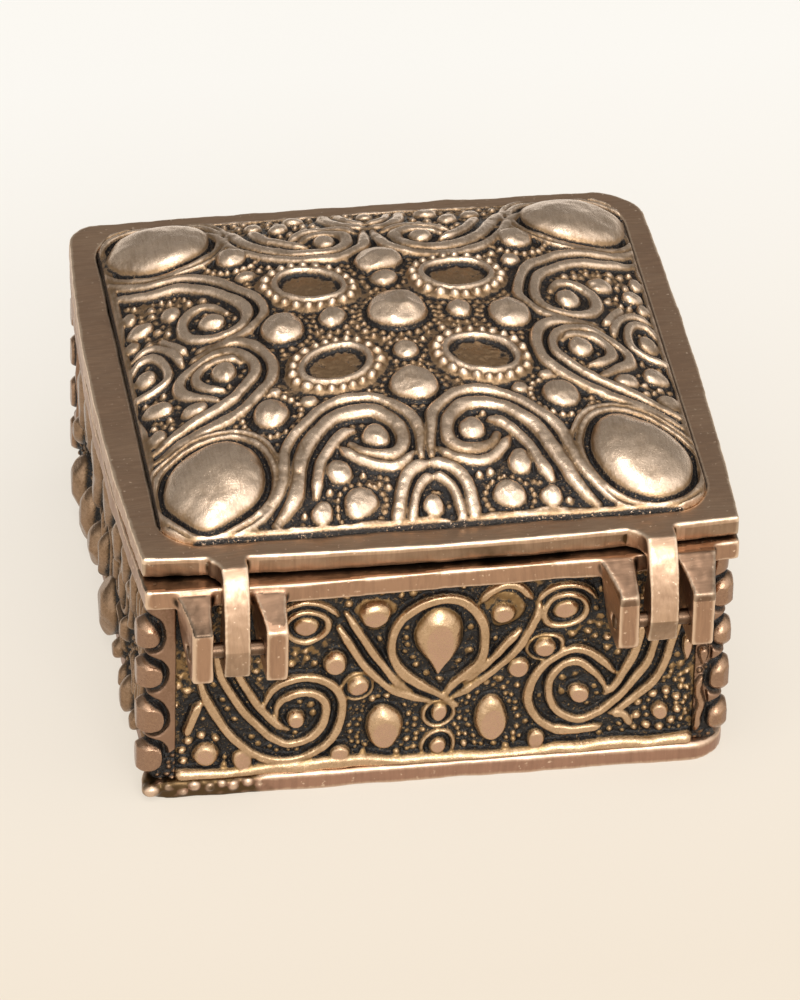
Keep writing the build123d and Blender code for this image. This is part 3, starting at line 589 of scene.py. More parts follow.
def product(tree, first, second):
    """One value times another."""
    return add_node(tree, "ShaderNodeMath", {0: first, 1: second}, operation="MULTIPLY").outputs[0]


def plus(tree, value, other, share=1.0, offset=0.0):
    """The value plus a share of another and an offset."""
    scaled = add_node(tree, "ShaderNodeMath", {0: other, 1: share, 2: offset}, operation="MULTIPLY_ADD")
    return add_node(tree, "ShaderNodeMath", {0: scaled.outputs[0], 1: value}, operation="ADD").outputs[0]


def varied(tree, value, grain, share):
    """The value made uneven by a share of some noise about 0.5."""
    return plus(tree, value, grain, share, -share / 2)


def blend(tree, factor, first, second):
    """One colour going over to another as the factor goes from 0 to 1."""
    node = add_node(tree, "ShaderNodeMix", {0: factor}, data_type="RGBA")
    colours = [socket for socket in node.inputs if socket.type == "RGBA"]
    tree.links.new(first, colours[0])
    tree.links.new(second, colours[1])
    return node.outputs[2]


def dark_skin_group():
    """Cast brass: sooty in the hollows, brown on the flanks, and bright where rubbed or filed."""
    colours = ("Hollow Colour", "Flank Colour", "Rubbed Colour", "Facet Colour")
    group, start, end = new_group("dark_skin", colours, ("Roughness", "Metallic", "Height"))
    wear, hollow, facet = painted(group, "wear"), painted(group, "hollow"), painted(group, "facet")
    place = add_node(group, "ShaderNodeTexCoord").outputs["Object"]
    speckle = noise(group, place, 2600.0, 3.0, 0.7)
    patches = noise(group, place, 300.0, 5.0)
    drawn_out = add_node(group, "ShaderNodeMapping", {"Vector": place, "Rotation": (0.5, 0.3, 0.7),
                                                      "Scale": (2600.0, 260.0, 2600.0)})
    brushed = noise(group, drawn_out.outputs[0], 1.0, 3.0, 0.65)
    rubbed = varied(group, wear, speckle, 0.5)
    rubbed = varied(group, rubbed, patches, 0.6)
    rubbed = varied(group, rubbed, brushed, 0.6)
    soot = mapped(group, varied(group, hollow, speckle, 0.5), 0.06, 0.32, curve="SMOOTHSTEP")
    shine = mapped(group, rubbed, 0.34, 1.3, curve="SMOOTHSTEP")
    colour = blend(group, shine, start.outputs["Flank Colour"], start.outputs["Rubbed Colour"])
    facing = product(group, facet, mapped(group, brushed, 0.35, 0.65, 1.0, 0.35))
    colour = blend(group, facing, colour, start.outputs["Facet Colour"])
    glints = mapped(group, speckle, 0.60, 0.66)
    sooty = mapped(group, glints, 0.0, 1.0, soot, 0.0)
    covered = add_node(group, "ShaderNodeMath", {0: sooty, 1: facet}, operation="SUBTRACT", use_clamp=True)
    covered = covered.outputs[0]
    colour = blend(group, covered, colour, start.outputs["Hollow Colour"])
    group.links.new(colour, end.inputs["Colour"])
    rough = mapped(group, soot, 0.0, 1.0, mapped(group, rubbed, 0.2, 1.0, 0.42, 0.27), 0.22)
    group.links.new(rough, end.inputs["Roughness"])
    group.links.new(mapped(group, covered, 0.0, 1.0, 1.0, 0.0), end.inputs["Metallic"])
    smooth = mapped(group, facet, 0.0, 1.0, 1.0, 0.15)
    grit = product(group, speckle, product(group, mapped(group, soot, 0.0, 1.0, 0.3, 1.6), smooth))
    height = plus(group, grit, product(group, patches, smooth), 0.6)
    group.links.new(plus(group, height, brushed, 0.35), end.inputs["Height"])
    return group


dark_skin = dark_skin_group()
cast_bump = 0.11


def skinned_brass(name, skin_group, colours, bump):
    """A brass with the look of a skin group, whose bumps are so many millimetres high."""
    material, tree, shader = new_material(name)
    skin = add_node(tree, "ShaderNodeGroup", node_tree=skin_group)
    for socket, colour in zip(skin.inputs, colours):
        socket.default_value = (*colour, 1)
    tree.links.new(skin.outputs["Colour"], shader.inputs["Base Color"])
    tree.links.new(skin.outputs["Roughness"], shader.inputs["Roughness"])
    shader.inputs["Metallic"].default_value = 1.0
    dents = add_node(tree, "ShaderNodeBump", {"Height": skin.outputs["Height"], "Distance": bump * MM,
                                              "Strength": 1.0})
    tree.links.new(dents.outputs["Normal"], shader.inputs["Normal"])
    return material, tree, shader, skin


def cast_brass(name, hollow, flank, rubbed, facet):
    """Cast brass with its own colours for hollows, flanks, rubbed tops and filed facets."""
    material, tree, shader, skin = skinned_brass(name, dark_skin, (hollow, flank, rubbed, facet),
                                                 cast_bump)
    tree.links.new(skin.outputs["Metallic"], shader.inputs["Metallic"])
    shader.inputs["IOR"].default_value = 1.35
    return material


lid_brass = cast_brass("lid_cast_brass", (0.012, 0.010, 0.010), (0.34, 0.22, 0.125), (0.96, 0.75, 0.58),
                       (0.78, 0.58, 0.44))
lid_mesh, s, t, back_count = slab_mesh("lid_panel_casting", 416, 424, lid_front, lid_back, stride=8)
paint(lid_mesh, lid, *rounded_plan(s, t, opening_half_x, opening_half_y, opening_corner), back_count)
place_piece(lid_mesh, "lid_panel_casting", "lid", "lid_panel", lid_brass)

# Lid rim and its two straps. One flat brass casting, filed on top and on its edges, so that
# every face carries fine file marks, and handled until its corners are soft and bright.
rim_voxel = 0.26


def soft_waves(points, reach, seed, count=18):
    """Smooth random unevenness about one in size over points in millimetres."""
    random = np.random.default_rng(seed)
    total = np.zeros(len(points))
    for _ in range(count):
        heading = random.normal(0, 1, 3)
        heading /= np.linalg.norm(heading)
        length = reach * random.uniform(0.6, 1.8)
        total += np.sin(points @ heading * 2 * math.pi / length + random.uniform(0, 2 * math.pi))
    return total / math.sqrt(count / 2)


def relaxed(values, first, second, share, rounds):
    """Each point's values drawn towards its neighbours' mean, a few times over."""
    count = np.bincount(np.concatenate([first, second]), minlength=len(values))[:, None]
    for _ in range(rounds):
        total = np.zeros_like(values)
        for axis in range(values.shape[1]):
            total[:, axis] = (np.bincount(first, values[second, axis], len(values))
                              + np.bincount(second, values[first, axis], len(values)))
        values = values + share * (total / np.maximum(count, 1) - values)
    return values


full_bend = 0.09


def worn_copy(node, name, voxel, rounds, waviness, seed, reshape=None, shade_and_soil=None, beads=()):
    """A plain node's shape with soft corners and uneven faces, its edges and hollows measured.

    reshape moves its points, shade_and_soil gives extra darkening at them, which is painted shade on the rim
    and rail and grime on the base, and beads are balls fused on, each as x, y, z and radius."""
    rough = bpy.data.objects.new(name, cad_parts[node].data.copy())
    bpy.context.scene.collection.objects.link(rough)
    shape = bmesh.new()
    shape.from_mesh(rough.data)
    for x, y, z, radius in beads:
        bmesh.ops.create_icosphere(shape, subdivisions=3, radius=radius * MM,
                                   matrix=Matrix.Translation(Vector((x, y, z)) * MM))
    shape.to_mesh(rough.data)
    shape.free()
    remesh = rough.modifiers.new("even_skin", "REMESH")
    remesh.mode = "VOXEL"
    remesh.voxel_size = voxel * MM
    bpy.context.view_layer.update()
    mesh = bpy.data.meshes.new_from_object(rough.evaluated_get(bpy.context.evaluated_depsgraph_get()))
    bpy.data.objects.remove(rough)
    mesh.materials.clear()
    mesh.name = name
    points = np.empty(len(mesh.vertices) * 3)
    mesh.vertices.foreach_get("co", points)
    points = points.reshape(-1, 3) / MM
    ends = np.empty(len(mesh.edges) * 2, int)
    mesh.edges.foreach_get("vertices", ends)
    first, second = ends[::2], ends[1::2]
    points = relaxed(points, first, second, 0.5, rounds)
    if reshape:
        points = reshape(points)
    mesh.vertices.foreach_set("co", (points * MM).ravel())
    mesh.update()
    normals = np.empty(len(mesh.vertices) * 3)
    mesh.vertex_normals.foreach_get("vector", normals)
    normals = normals.reshape(-1, 3)
    bend = ((points - relaxed(points, first, second, 0.5, 10)) * normals).sum(1) / full_bend
    ripple = waviness * soft_waves(points, 9.0, seed) + 0.012 * soft_waves(points, 1.6, seed + 1)
    points += normals * ripple[:, None]
    mesh.vertices.foreach_set("co", (points * MM).ravel())
    # Grime in concave corners, plus the painted shade and grime given by shade_and_soil, all stored in the
    # hollow layer
    grime_and_shade = np.clip(-bend, 0, 1) + (shade_and_soil(points) if shade_and_soil else 0)
    for layer_name, values in (("wear", np.clip(bend, 0, 1)), ("hollow", grime_and_shade)):
        layer = mesh.attributes.new(layer_name, "FLOAT", "POINT")
        layer.data.foreach_set("value", values.astype(np.float32))
    mesh.shade_smooth()
    return mesh


def filed_skin_group():
    """Filed brass: fine file marks, bright edges, dark corners, and painted shade where a piece's hollow
    layer carries it.
    """
    colours = ("Face Colour", "Dull Colour", "Edge Colour", "Grime and Shade Colour")
    group, start, end = new_group("filed_skin", colours, ("Roughness", "Height"))
    coordinates = add_node(group, "ShaderNodeTexCoord")
    place = coordinates.outputs["Object"]
    facing = add_node(group, "ShaderNodeSeparateXYZ", {"Vector": coordinates.outputs["Normal"]})
    level = add_node(group, "ShaderNodeMath", {0: facing.outputs["Z"]}, operation="ABSOLUTE")
    level = mapped(group, level.outputs[0], 0.55, 0.75)
    drift = add_node(group, "ShaderNodeTexNoise", {"Vector": place, "Scale": 35.0, "Detail": 2.0})
    bent = add_node(group, "ShaderNodeVectorMath", {0: drift.outputs["Color"], "Scale": 0.006},
                    operation="SCALE")
    swayed = add_node(group, "ShaderNodeVectorMath", {0: place, 1: bent.outputs[0]}, operation="ADD")
    marks = []
    for stretch, turn in (((160.0, 2200.0, 2200.0), 0.45), ((1900.0, 1900.0, 150.0), 0.0)):
        drawn_out = add_node(group, "ShaderNodeMapping", {"Vector": swayed.outputs[0],
                                                          "Rotation": (0, 0, turn), "Scale": stretch})
        marks.append(noise(group, drawn_out.outputs[0], 1.0, 3.0, 0.6))
    strokes = add_node(group, "ShaderNodeMix", {0: level, 2: marks[1], 3: marks[0]}, data_type="FLOAT")
    strokes = strokes.outputs[0]
    patches = noise(group, place, 90.0, 5.0, 0.6)
    pits = mapped(group, noise(group, place, 1300.0, 2.0), 0.67, 0.74)
    split = add_node(group, "ShaderNodeSeparateXYZ", {"Vector": place})
    depth = add_node(group, "ShaderNodeMath", {0: split.outputs["Y"]}, operation="ABSOLUTE")
    depth = mapped(group, depth.outputs[0], 0.038, 0.045, -0.12, 0.1)
    tone = mapped(group, plus(group, depth, plus(group, strokes, patches)), 0.78, 1.22)
    colour = blend(group, tone, start.outputs["Dull Colour"], start.outputs["Face Colour"])
    colour = blend(group, pits, colour, start.outputs["Edge Colour"])
    rubbed = mapped(group, varied(group, painted(group, "wear"), strokes, 0.5), 0.38, 1.0)
    colour = blend(group, rubbed, colour, start.outputs["Edge Colour"])
    # The hollow layer holds grime in corners and, on the rim and rail, painted shade; both darken towards the
    # grime colour
    grime_and_shade = mapped(group, varied(group, painted(group, "hollow"), patches, 0.8), 0.2, 0.65)
    colour = blend(group, grime_and_shade, colour, start.outputs["Grime and Shade Colour"])
    group.links.new(colour, end.inputs["Colour"])
    group.links.new(mapped(group, tone, 0.0, 1.0, 0.42, 0.30), end.inputs["Roughness"])
    group.links.new(plus(group, strokes, pits, -0.8), end.inputs["Height"])
    return group


filed_skin = filed_skin_group()
file_mark_bump = 0.03


def filed_brass(name, face, dull, edge, grime_and_shade=(0.045, 0.03, 0.02)):
    """Filed brass with its own colours for faces, duller streaks, worn edges, and grimy corners and painted
    shade.
    """
    return skinned_brass(name, filed_skin, (face, dull, edge, grime_and_shade), file_mark_bump)[0]


rim_rear_edge = 44.6
strap_x = 32.2
strap_half = 4.4
strap_tail_z = 33.2


def rim_painted_shade(points):
    """Painted shade on the rim's rear edge beside its straps, and on the straps' tails."""
    x, y, z = points.T
    edge = (y > rim_rear_edge) & (z < rim_top - 0.8) & (np.abs(np.abs(x) - strap_x) > strap_half)
    return 0.42 * edge + 0.36 * (z < strap_tail_z)


# rim_painted_shade darkens the rear face and the strap tails towards the grime colour, as painted shade
rim_brass = filed_brass("rim_filed_brass", (0.58, 0.395, 0.27), (0.42, 0.275, 0.185), (0.85, 0.66, 0.49),
                        (0.07, 0.042, 0.02))
rim_mesh = worn_copy("lid_rim", "lid_rim_and_straps", rim_voxel, 6, 0.05, 31, shade_and_soil=rim_painted_shade)
place_piece(rim_mesh, "lid_rim_and_straps", "lid", "lid_rim", rim_brass)

# Top rail with the four hinge ears. A plain ledge, filed like the lid rim; the ears were
# sawn and filed to shape by hand, so no two are alike.
rail_brass = filed_brass("rail_filed_brass", (0.44, 0.27, 0.175), (0.33, 0.2, 0.13), (0.78, 0.58, 0.42))
rail_edge_x = (-45.1, -27.0, 0.0, 22.0, 45.1)
rail_edge_y = (46.2, 48.2, 48.6, 49.1, 48.6)
ledge_z = 41.3
ear_slope_start = (48.2, 41.6)
ear_slope_fall = 0.77


def rail_painted_shade(points):
    """Painted shade on the ledge's top, in the lee of the lid, and on the sawn slopes of the ears."""
    x, y, z = points.T
    rear_edge = np.interp(x, rail_edge_x, rail_edge_y)
    ledge = (z > ledge_z) & (y > 42) & (y < rear_edge - 0.7)
    slope_z = ear_slope_start[1] - ear_slope_fall * np.maximum(y - ear_slope_start[0], 0)
    return 0.55 * ledge + 0.48 * ((y > rear_edge + 0.3) & (z > slope_z - 0.5))


# rail_painted_shade darkens the ledge top and the ear slopes towards the grime colour, as painted shade
rail_mesh = worn_copy("top_rail", "top_rail_and_ears", rim_voxel, 6, 0.05, 41, shade_and_soil=rail_painted_shade)
place_piece(rail_mesh, "top_rail_and_ears", "box", "top_rail", rail_brass)

# Hinge pins. Plain brass rods, pushed through two ears and a strap each, with their ends peened over
# into low caps, and painted darker than the castings as a stand-in for the shade in the narrow gaps between
# ears and straps. pin_cap holds insets from the end and shares of the radius there.
pin_shade_brass = filed_brass("pin_shaded_brass", (0.16, 0.1, 0.065), (0.1, 0.065, 0.04), (0.3, 0.2, 0.13))
pin_cap = ((0.0, 0.45), (0.1, 0.8), (0.3, 0.97), (0.5, 1.0))
around = 32
for side in ("left", "right"):
    low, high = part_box(f"{side}_hinge_pin")
    middle_y, middle_z, pin_radius = (low.y + high.y) / 2, (low.z + high.z) / 2, (high.z - low.z) / 2
    rings = [(low.x + inset * MM, share) for inset, share in pin_cap]
    rings += [(high.x - inset * MM, share) for inset, share in reversed(pin_cap)]
    points = [(x, middle_y + share * pin_radius * math.cos(2 * math.pi * k / around),
               middle_z + share * pin_radius * math.sin(2 * math.pi * k / around))
              for x, share in rings for k in range(around)]
    faces = [(start + k, start + around + k, start + around + (k + 1) % around, start + (k + 1) % around)
             for start in range(0, len(points) - around, around) for k in range(around)]
    faces += [tuple(range(around)), tuple(range(len(points) - around, len(points)))[::-1]]
    pin_mesh = bpy.data.meshes.new(f"{side}_hinge_pin_rod")
    pin_mesh.from_pydata(points, [], [face[::-1] for face in faces])
    pin_mesh.shade_smooth()
    place_piece(pin_mesh, f"{side}_hinge_pin_rod", "box", f"{side}_hinge_pin", pin_shade_brass)

# Rear wall. A cast plate like the lid, but with every boss and rib filed flat on top, which
# leaves coppery facets over sooty ground. Scrolls sweep from the hinges to the foot of the wall.
# On a wall's board u runs to the right as seen from outside, and z is the height in the box.
wall_low_z = 3.2
wall_high_z = 38.3
wall_half = 39.8
wall_middle_z = (wall_low_z + wall_high_z) / 2
wall_half_z = (wall_high_z - wall_low_z) / 2
wall_ground = 43.0
wall_back = 39.8
wall_brass = cast_brass("wall_cast_brass", (0.009, 0.008, 0.008), (0.25, 0.155, 0.07), (0.62, 0.43, 0.27),
                        (0.56, 0.355, 0.255))
# The side walls take a darker copy of the wall's brass: painted shade for walls that face away from the light
shaded_side_brass = cast_brass("side_wall_shaded_cast_brass", (0.009, 0.008, 0.008), (0.10, 0.06, 0.03),
                        (0.36, 0.235, 0.15), (0.24, 0.15, 0.1))

# Ribs, as points of u and z
rear_ribs = (
    ((-36.6, 24.0), (-35.7, 19.9), (-34.6, 16.9), (-33.3, 13.9), (-32.0, 11.2), (-30.2, 8.6), (-27.8, 6.5),
     (-24.2, 5.0), (-20.0, 5.2), (-16.8, 7.6), (-14.8, 11.2), (-14.3, 14.6), (-15.8, 18.2), (-18.9, 20.4),
     (-22.2, 20.3), (-24.9, 18.2), (-26.8, 15.2)),
    ((-34.4, 28.4), (-33.4, 24.2), (-32.5, 21.2), (-31.2, 17.7), (-29.6, 14.9), (-27.7, 12.1), (-25.4, 9.6),
     (-22.4, 8.0), (-19.3, 8.9), (-17.2, 11.7), (-16.8, 14.7), (-18.3, 17.0), (-20.6, 17.7), (-22.9, 16.8),
     (-24.5, 14.9), (-24.7, 12.6)),
    ((-30.8, 26.0), (-29.7, 21.2), (-28.4, 17.7), (-26.6, 14.4), (-24.7, 12.1), (-22.5, 10.6)),
    ((37.4, 28.0), (35.9, 22.6), (35.1, 19.2), (33.6, 15.6), (31.8, 13.2), (29.5, 11.0), (27.0, 9.2)),
    ((22.0, 6.4), (18.6, 7.0), (15.6, 9.0), (14.3, 12.4), (14.4, 15.4), (15.6, 17.8), (17.6, 20.1),
     (20.2, 21.5), (23.0, 21.2), (25.6, 19.5), (27.6, 17.2)),
    ((34.4, 28.0), (33.1, 22.5), (32.3, 19.4), (30.7, 16.1), (29.2, 13.4), (27.1, 11.3), (24.9, 9.6),
     (22.4, 8.7), (20.1, 9.3), (18.2, 10.9), (17.4, 13.6), (17.5, 16.2), (19.4, 18.7), (21.9, 19.2),
     (24.3, 17.6), (25.8, 15.1), (26.4, 13.4)),
    ((31.2, 26.0), (30.1, 21.1), (29.0, 17.7), (27.9, 15.2), (26.1, 12.9)),
    ((-15.4, 29.0), (-12.7, 24.1), (-10.0, 20.2), (-7.0, 17.5), (-3.6, 15.2), (-1.0, 13.6)),
    ((-14.2, 31.6), (-12.1, 27.6), (-9.6, 23.6), (-6.8, 19.8), (-3.6, 15.9)),
    ((12.8, 26.4), (11.2, 24.6), (9.2, 22.3), (6.8, 19.6), (4.2, 16.8)),
    ((15.2, 31.2), (14.8, 28.4), (13.8, 25.4), (11.8, 22.0), (8.7, 18.8), (5.4, 16.3), (2.3, 14.6)),
    ((-36.0, 17.4), (-36.9, 14.2), (-38.1, 11.2)),
    ((18.0, 7.4), (21.6, 7.0), (25.4, 7.0)),
    ((27.6, 9.4), (29.2, 9.2), (30.2, 7.2)),
)
rear_loop = ((2.9, 13.0), (0.6, 14.8), (-1.6, 16.7), (-4.1, 19.1), (-6.0, 21.8), (-6.8, 24.7),
             (-6.4, 27.8), (-4.9, 30.6), (-2.2, 32.6), (1.0, 33.3), (3.6, 32.6), (5.6, 30.5), (7.1, 27.4),
             (7.3, 24.4), (6.5, 21.3), (4.5, 18.7), (2.3, 16.5), (0.7, 14.7))
# Filed bosses: u, z, half width, half height, turn, rise
rear_bosses = (
    (-9.7, 31.2, 2.7, 2.7, 0, 2.1), (9.8, 29.8, 2.0, 2.1, 0, 1.8), (-15.8, 22.6, 2.0, 2.2, 0, 2.0),
    (-12.2, 18.0, 2.0, 2.1, 0, 1.9), (12.7, 19.0, 1.8, 2.2, 0, 1.9), (16.5, 22.8, 1.8, 2.1, 0, 2.0),
    (-7.8, 9.9, 2.9, 4.3, 0, 2.3), (8.6, 10.2, 2.8, 4.1, 0, 2.3), (0.3, 11.7, 1.3, 1.9, 0, 1.6),
    (0.5, 5.6, 1.5, 1.5, 0, 1.6), (-14.7, 5.4, 1.8, 1.8, 0, 1.9), (15.4, 5.8, 1.6, 1.6, 0, 1.8),
    (-21.4, 12.8, 1.7, 1.8, 0, 2.0), (22.0, 13.6, 1.7, 1.8, 0, 2.0), (-35.3, 7.2, 2.3, 2.2, 20, 2.1),
    (-29.6, 5.7, 1.7, 2.1, 30, 1.8), (34.7, 9.2, 1.4, 1.8, 10, 1.8), (-19.8, 29.6, 1.9, 1.9, 0, 1.3),
    (19.3, 29.4, 2.2, 1.9, 0, 1.3),
)
# Small round beads: u, z and half width
rear_beads = (
    (-9.6, 15.1, 0.75), (-7.0, 15.6, 0.7), (7.8, 16.4, 0.7), (-5.7, 5.1, 0.7), (-4.2, 7.2, 0.6),
    (4.6, 5.4, 0.6), (5.0, 14.2, 0.6), (10.6, 5.0, 0.7), (-11.0, 5.0, 0.7), (-24.0, 22.8, 0.7),
    (26.0, 23.4, 0.7), (-37.9, 9.8, 0.8), (-38.9, 8.1, 0.75), (-38.6, 6.0, 0.8), (-35.8, 10.4, 0.8),
    (-33.6, 9.7, 0.75), (33.5, 12.3, 0.8), (31.5, 10.9, 0.8), (31.3, 8.5, 0.8), (32.6, 6.5, 0.8),
    (34.6, 5.9, 0.8), (36.5, 6.9, 0.8), (37.4, 8.9, 0.8), (37.2, 11.6, 0.8), (35.5, 12.8, 0.8),
    (-32.4, 5.0, 0.7), (-27.0, 4.6, 0.8),
)


def filed_bosses(board, bosses):
    """Bosses whose tops were filed flat, each at its own slight slant."""
    for x, z, half_x, half_z, turn, rise in bosses:
        lean = board.random.normal(0, 0.07, 2) + (0, 0.09)
        board.boss(x, z, half_x, half_z, turn, rise, cut=board.random.uniform(0.78, 0.88), lean=lean)


def scrolled_wall(seed):
    """The carving that the rear and the front wall share."""
    board = Carving(wall_half + 1, wall_low_z - 1, wall_high_z + 1, seed)
    for path in rear_ribs:
        board.rib(path, 0.8, 1.35, cut=0.78)
    board.rib(rear_loop, 0.92, 1.5, cut=0.78)
    board.rib(((-39.0, 3.2), (-20.0, 3.6), (0.0, 3.2), (20.0, 3.6), (39.0, 3.3)), 1.5, 1.7, ends=1.0)
    board.boss(-9.7, 31.0, 3.6, 3.3, 0, 0.9, cut=0.6, filed=0.0)
    board.boss(9.8, 30.4, 3.4, 3.4, 0, 0.9, cut=0.6, filed=0.0)
    board.rib(((6.1, 31.6), (7.9, 33.6), (9.9, 34.7), (12.2, 34.2), (14.0, 32.2)), 0.8, 1.1)
    for x, z, radius in ((0.3, 11.4, 2.3), (0.5, 5.7, 2.5), (-12.2, 17.8, 2.5), (16.5, 22.6, 2.6)):
        board.ring(x, z, radius, radius, 0.42, 0.9)
    for x, z, radius in ((-19.8, 29.6, 3.0), (19.3, 29.4, 3.3)):
        board.ring(x, z, radius, radius - 0.3, 0.62, 1.1)
        board.rib(board.oval_line(x, z, radius + 1.6, radius + 1.4, 0, 20, 160), 0.6, 1.0)
    filed_bosses(board, rear_bosses)
    board.drop(0.35, 27.4, 3.8, 4.6, 8.8, 2.4)
    board.drop(38.2, 21.6, 1.0, 1.6, 3.6, 1.8)
    for x, z, radius in rear_beads:
        board.boss(x, z, radius, rise=0.9 * radius + 0.3)
    board.granules((-39, 3.2), (39, 7.0), 2500, size=0.5, rise=0.7)
    board.granules((-14, 3.2), (14, 17.0), 1200, size=0.45, rise=0.55)
    board.granules((28, 3.2), (39, 16.0), 900, size=0.45, rise=0.6)
    board.granules((-39, 6.0), (39, 38.0), 3000, size=0.6, rise=0.5)
    return board


def quarter_turned(x, y, z, turned):
    """Points of the rear side turned about the box's middle to the side that they are for."""
    for _ in range(turned):
        x, y = -y, x
    return np.stack([x, y, z], -1)


sag_top = 9.0
sag_length = 5.8
sag_full_height = 2.2


def make_wall(name, node, board, turned, finish_seed, material=wall_brass, sag=0.0):
    """Casts a wall from its board and sets it between the posts; turned is its quarter turns from +Y,
    and sag is how far its lowest bosses hang over the base."""
    finish_casting(board, finish_seed, soot=0.27)

    def front(s, t):
        u, z = s * wall_half, wall_middle_z + t * wall_half_z
        out = sampled(board.height, board, u, z)
        share = np.clip(out / sag_full_height, 0, 1) * np.clip((sag_top - z) / sag_length, 0, 1)
        return quarter_turned(-u, wall_ground + out, z - sag * share, turned)

    def back(s, t):
        u, z = s * wall_half, wall_middle_z + t * wall_half_z
        return quarter_turned(-u, np.full_like(u, wall_back), z, turned)

    mesh, s, t, back_count = slab_mesh(name, 376, 168, front, back, stride=8)
    paint(mesh, board, s * wall_half, wall_middle_z + t * wall_half_z, back_count)
    place_piece(mesh, name, "box", node, material)


# Plain bars stand behind the ears
ear_foot_z = 27.4
bar_height = 1.8
rear_board = scrolled_wall(11)
for ear_left, ear_right in ((-38.7, -35.5), (-27.6, -24.3), (25.7, 28.8), (36.8, 39.8)):
    behind_ear = (rear_board.y[:, None] > ear_foot_z) & (rear_board.x > ear_left) & (rear_board.x < ear_right)
    rear_board.height[behind_ear] = bar_height
make_wall("rear_wall_casting", "rear_wall", rear_board, 0, 50)

# Front wall. It is out of the photograph's sight, so it repeats the rear wall's carving, with
# a ringed boss in each place that a hinge covers behind.
front_board = scrolled_wall(12)
for side in (1, -1):
    front_board.boss(side * 31.5, 30.6, 3.0, 2.8, 0, 1.8, cut=0.8)
    front_board.ring(side * 31.5, 30.6, 4.2, 4.0, 0.6, 1.0)
make_wall("front_wall_casting", "front_wall", front_board, 2, 60)

# Side walls. Long drops hang under the rail in a row, over plump ovals and small beads that
# bulge out over the foot of the box. Drops: u, z, half width, half height and rise
side_drops = (
    (-13.0, 22.0, 3.6, 8.2, 2.6), (0.0, 25.0, 2.7, 6.4, 2.4), (9.2, 23.2, 2.1, 4.4, 2.2),
    (19.0, 26.0, 2.0, 4.8, 2.1), (-23.4, 23.4, 2.8, 6.6, 2.4), (-31.6, 22.8, 2.8, 7.2, 2.4),
    (-4.0, 11.2, 1.9, 4.4, 2.2), (7.6, 17.0, 1.2, 2.8, 1.8), (14.4, 18.6, 1.5, 3.2, 1.8),
    (28.4, 27.0, 1.9, 4.4, 2.0),
)
side_bosses = (
    (-11.2, 8.8, 3.0, 4.0, 0, 2.7), (4.2, 8.0, 3.7, 4.8, 0, 2.8), (-20.4, 8.2, 3.2, 4.4, 0, 2.7),
    (-29.6, 7.6, 3.2, 4.2, 0, 2.7), (19.6, 13.8, 1.6, 2.3, 0, 2.0), (12.6, 6.4, 1.8, 1.8, 0, 2.0),
    (24.6, 6.2, 2.4, 3.0, 0, 2.2), (-36.4, 12.2, 2.2, 3.0, 0, 2.2), (23.8, 25.0, 1.5, 1.6, 0, 2.0),
    (30.6, 5.6, 1.5, 1.8, 0, 1.8), (18.4, 5.4, 1.5, 1.8, 0, 1.8),
)
side_lines = (
    ((23.9, 23.4), (24.0, 20.0), (23.6, 16.4)), ((33.4, 33.0), (33.6, 20.0), (33.2, 8.0)),
    ((35.4, 33.0), (35.2, 20.0), (35.6, 8.0)), ((37.6, 33.0), (37.4, 20.0), (37.7, 6.0)),
    ((-38.0, 33.0), (-37.8, 26.0), (-38.2, 18.0)), ((-8.4, 17.0), (-7.2, 12.0), (-7.6, 6.0)),
    ((9.2, 12.4), (14.0, 11.2), (17.0, 8.0)), ((26.0, 14.0), (28.6, 12.0), (30.6, 9.0)),
)


def side_wall(seed, mirror):
    """The carving of a side wall; mirror is 1 for the left one and -1 for the right one."""
    board = Carving(wall_half + 1, wall_low_z - 1, wall_high_z + 1, seed)
    for path in side_lines:
        board.rib([(mirror * u, z) for u, z in path], 0.6, 1.3, cut=0.8)
    for u, z, half_u, half_z, rise in side_drops:
        board.ring(mirror * u, z, half_u + 1.4, half_z + 1.3, 0.55, 0.9)
    for u, z, half_u, half_z, rise in side_drops:
        board.drop(mirror * u, z + 0.25 * half_z, half_u, 0.75 * half_z, 1.25 * half_z, rise, cut=0.93)
    for u, z, half_u, half_z, turn, rise in side_bosses:
        board.boss(mirror * u, z, half_u, half_z, turn, rise, cut=0.93, dents=3)
    board.granules((-39, 3.2), (39, 38.0), 6000, size=0.5, rise=0.6)
    if mirror > 0:
        board.height *= 1 + 0.35 * np.clip((20 - board.y) / 12, 0, 1)[:, None]
    return board


make_wall("left_wall_casting", "left_wall", side_wall(13, 1), 3, 70, shaded_side_brass, sag=1.7)
make_wall("right_wall_casting", "right_wall", side_wall(14, -1), 1, 80, shaded_side_brass)

# Corner posts. Square bars with a column of ovals cast round each outer edge; the edge and
# both faces were filed, which cut every oval into flat coppery facets that meet at a ridge.
post_ground = 43.4
post_inner = 39.8
post_bend = 1.2
post_face = 45.0
post_slant = 2 * post_face - 1.1
post_straight = post_ground - post_bend - post_inner
post_bend_length = post_bend * math.pi / 2
post_half = post_straight + post_bend_length / 2
post_oval_heights = (7.6, 15.3, 22.9, 30.6)
post_oval = (2.1, 2.9)
post_hollow = (2.8, 3.6)
post_skin = 0.95
post_brass = cast_brass("post_cast_brass", (0.009, 0.008, 0.008), (0.17, 0.1, 0.055), (0.44, 0.28, 0.185),
                        (0.31, 0.19, 0.13))


def post_frame(distance):
    """Place and outward direction round the post's corner, in plan, for the +X +Y corner."""
    straight_end = post_ground - post_bend
    along = distance + post_half
    angle = np.clip((along - post_straight) / post_bend, 0, math.pi / 2)
    x = straight_end + post_bend * np.cos(angle) - np.maximum(along - post_straight - post_bend_length, 0)
    y = straight_end + post_bend * np.sin(angle) + np.minimum(along - post_straight, 0)
    return x, y, np.cos(angle), np.sin(angle)


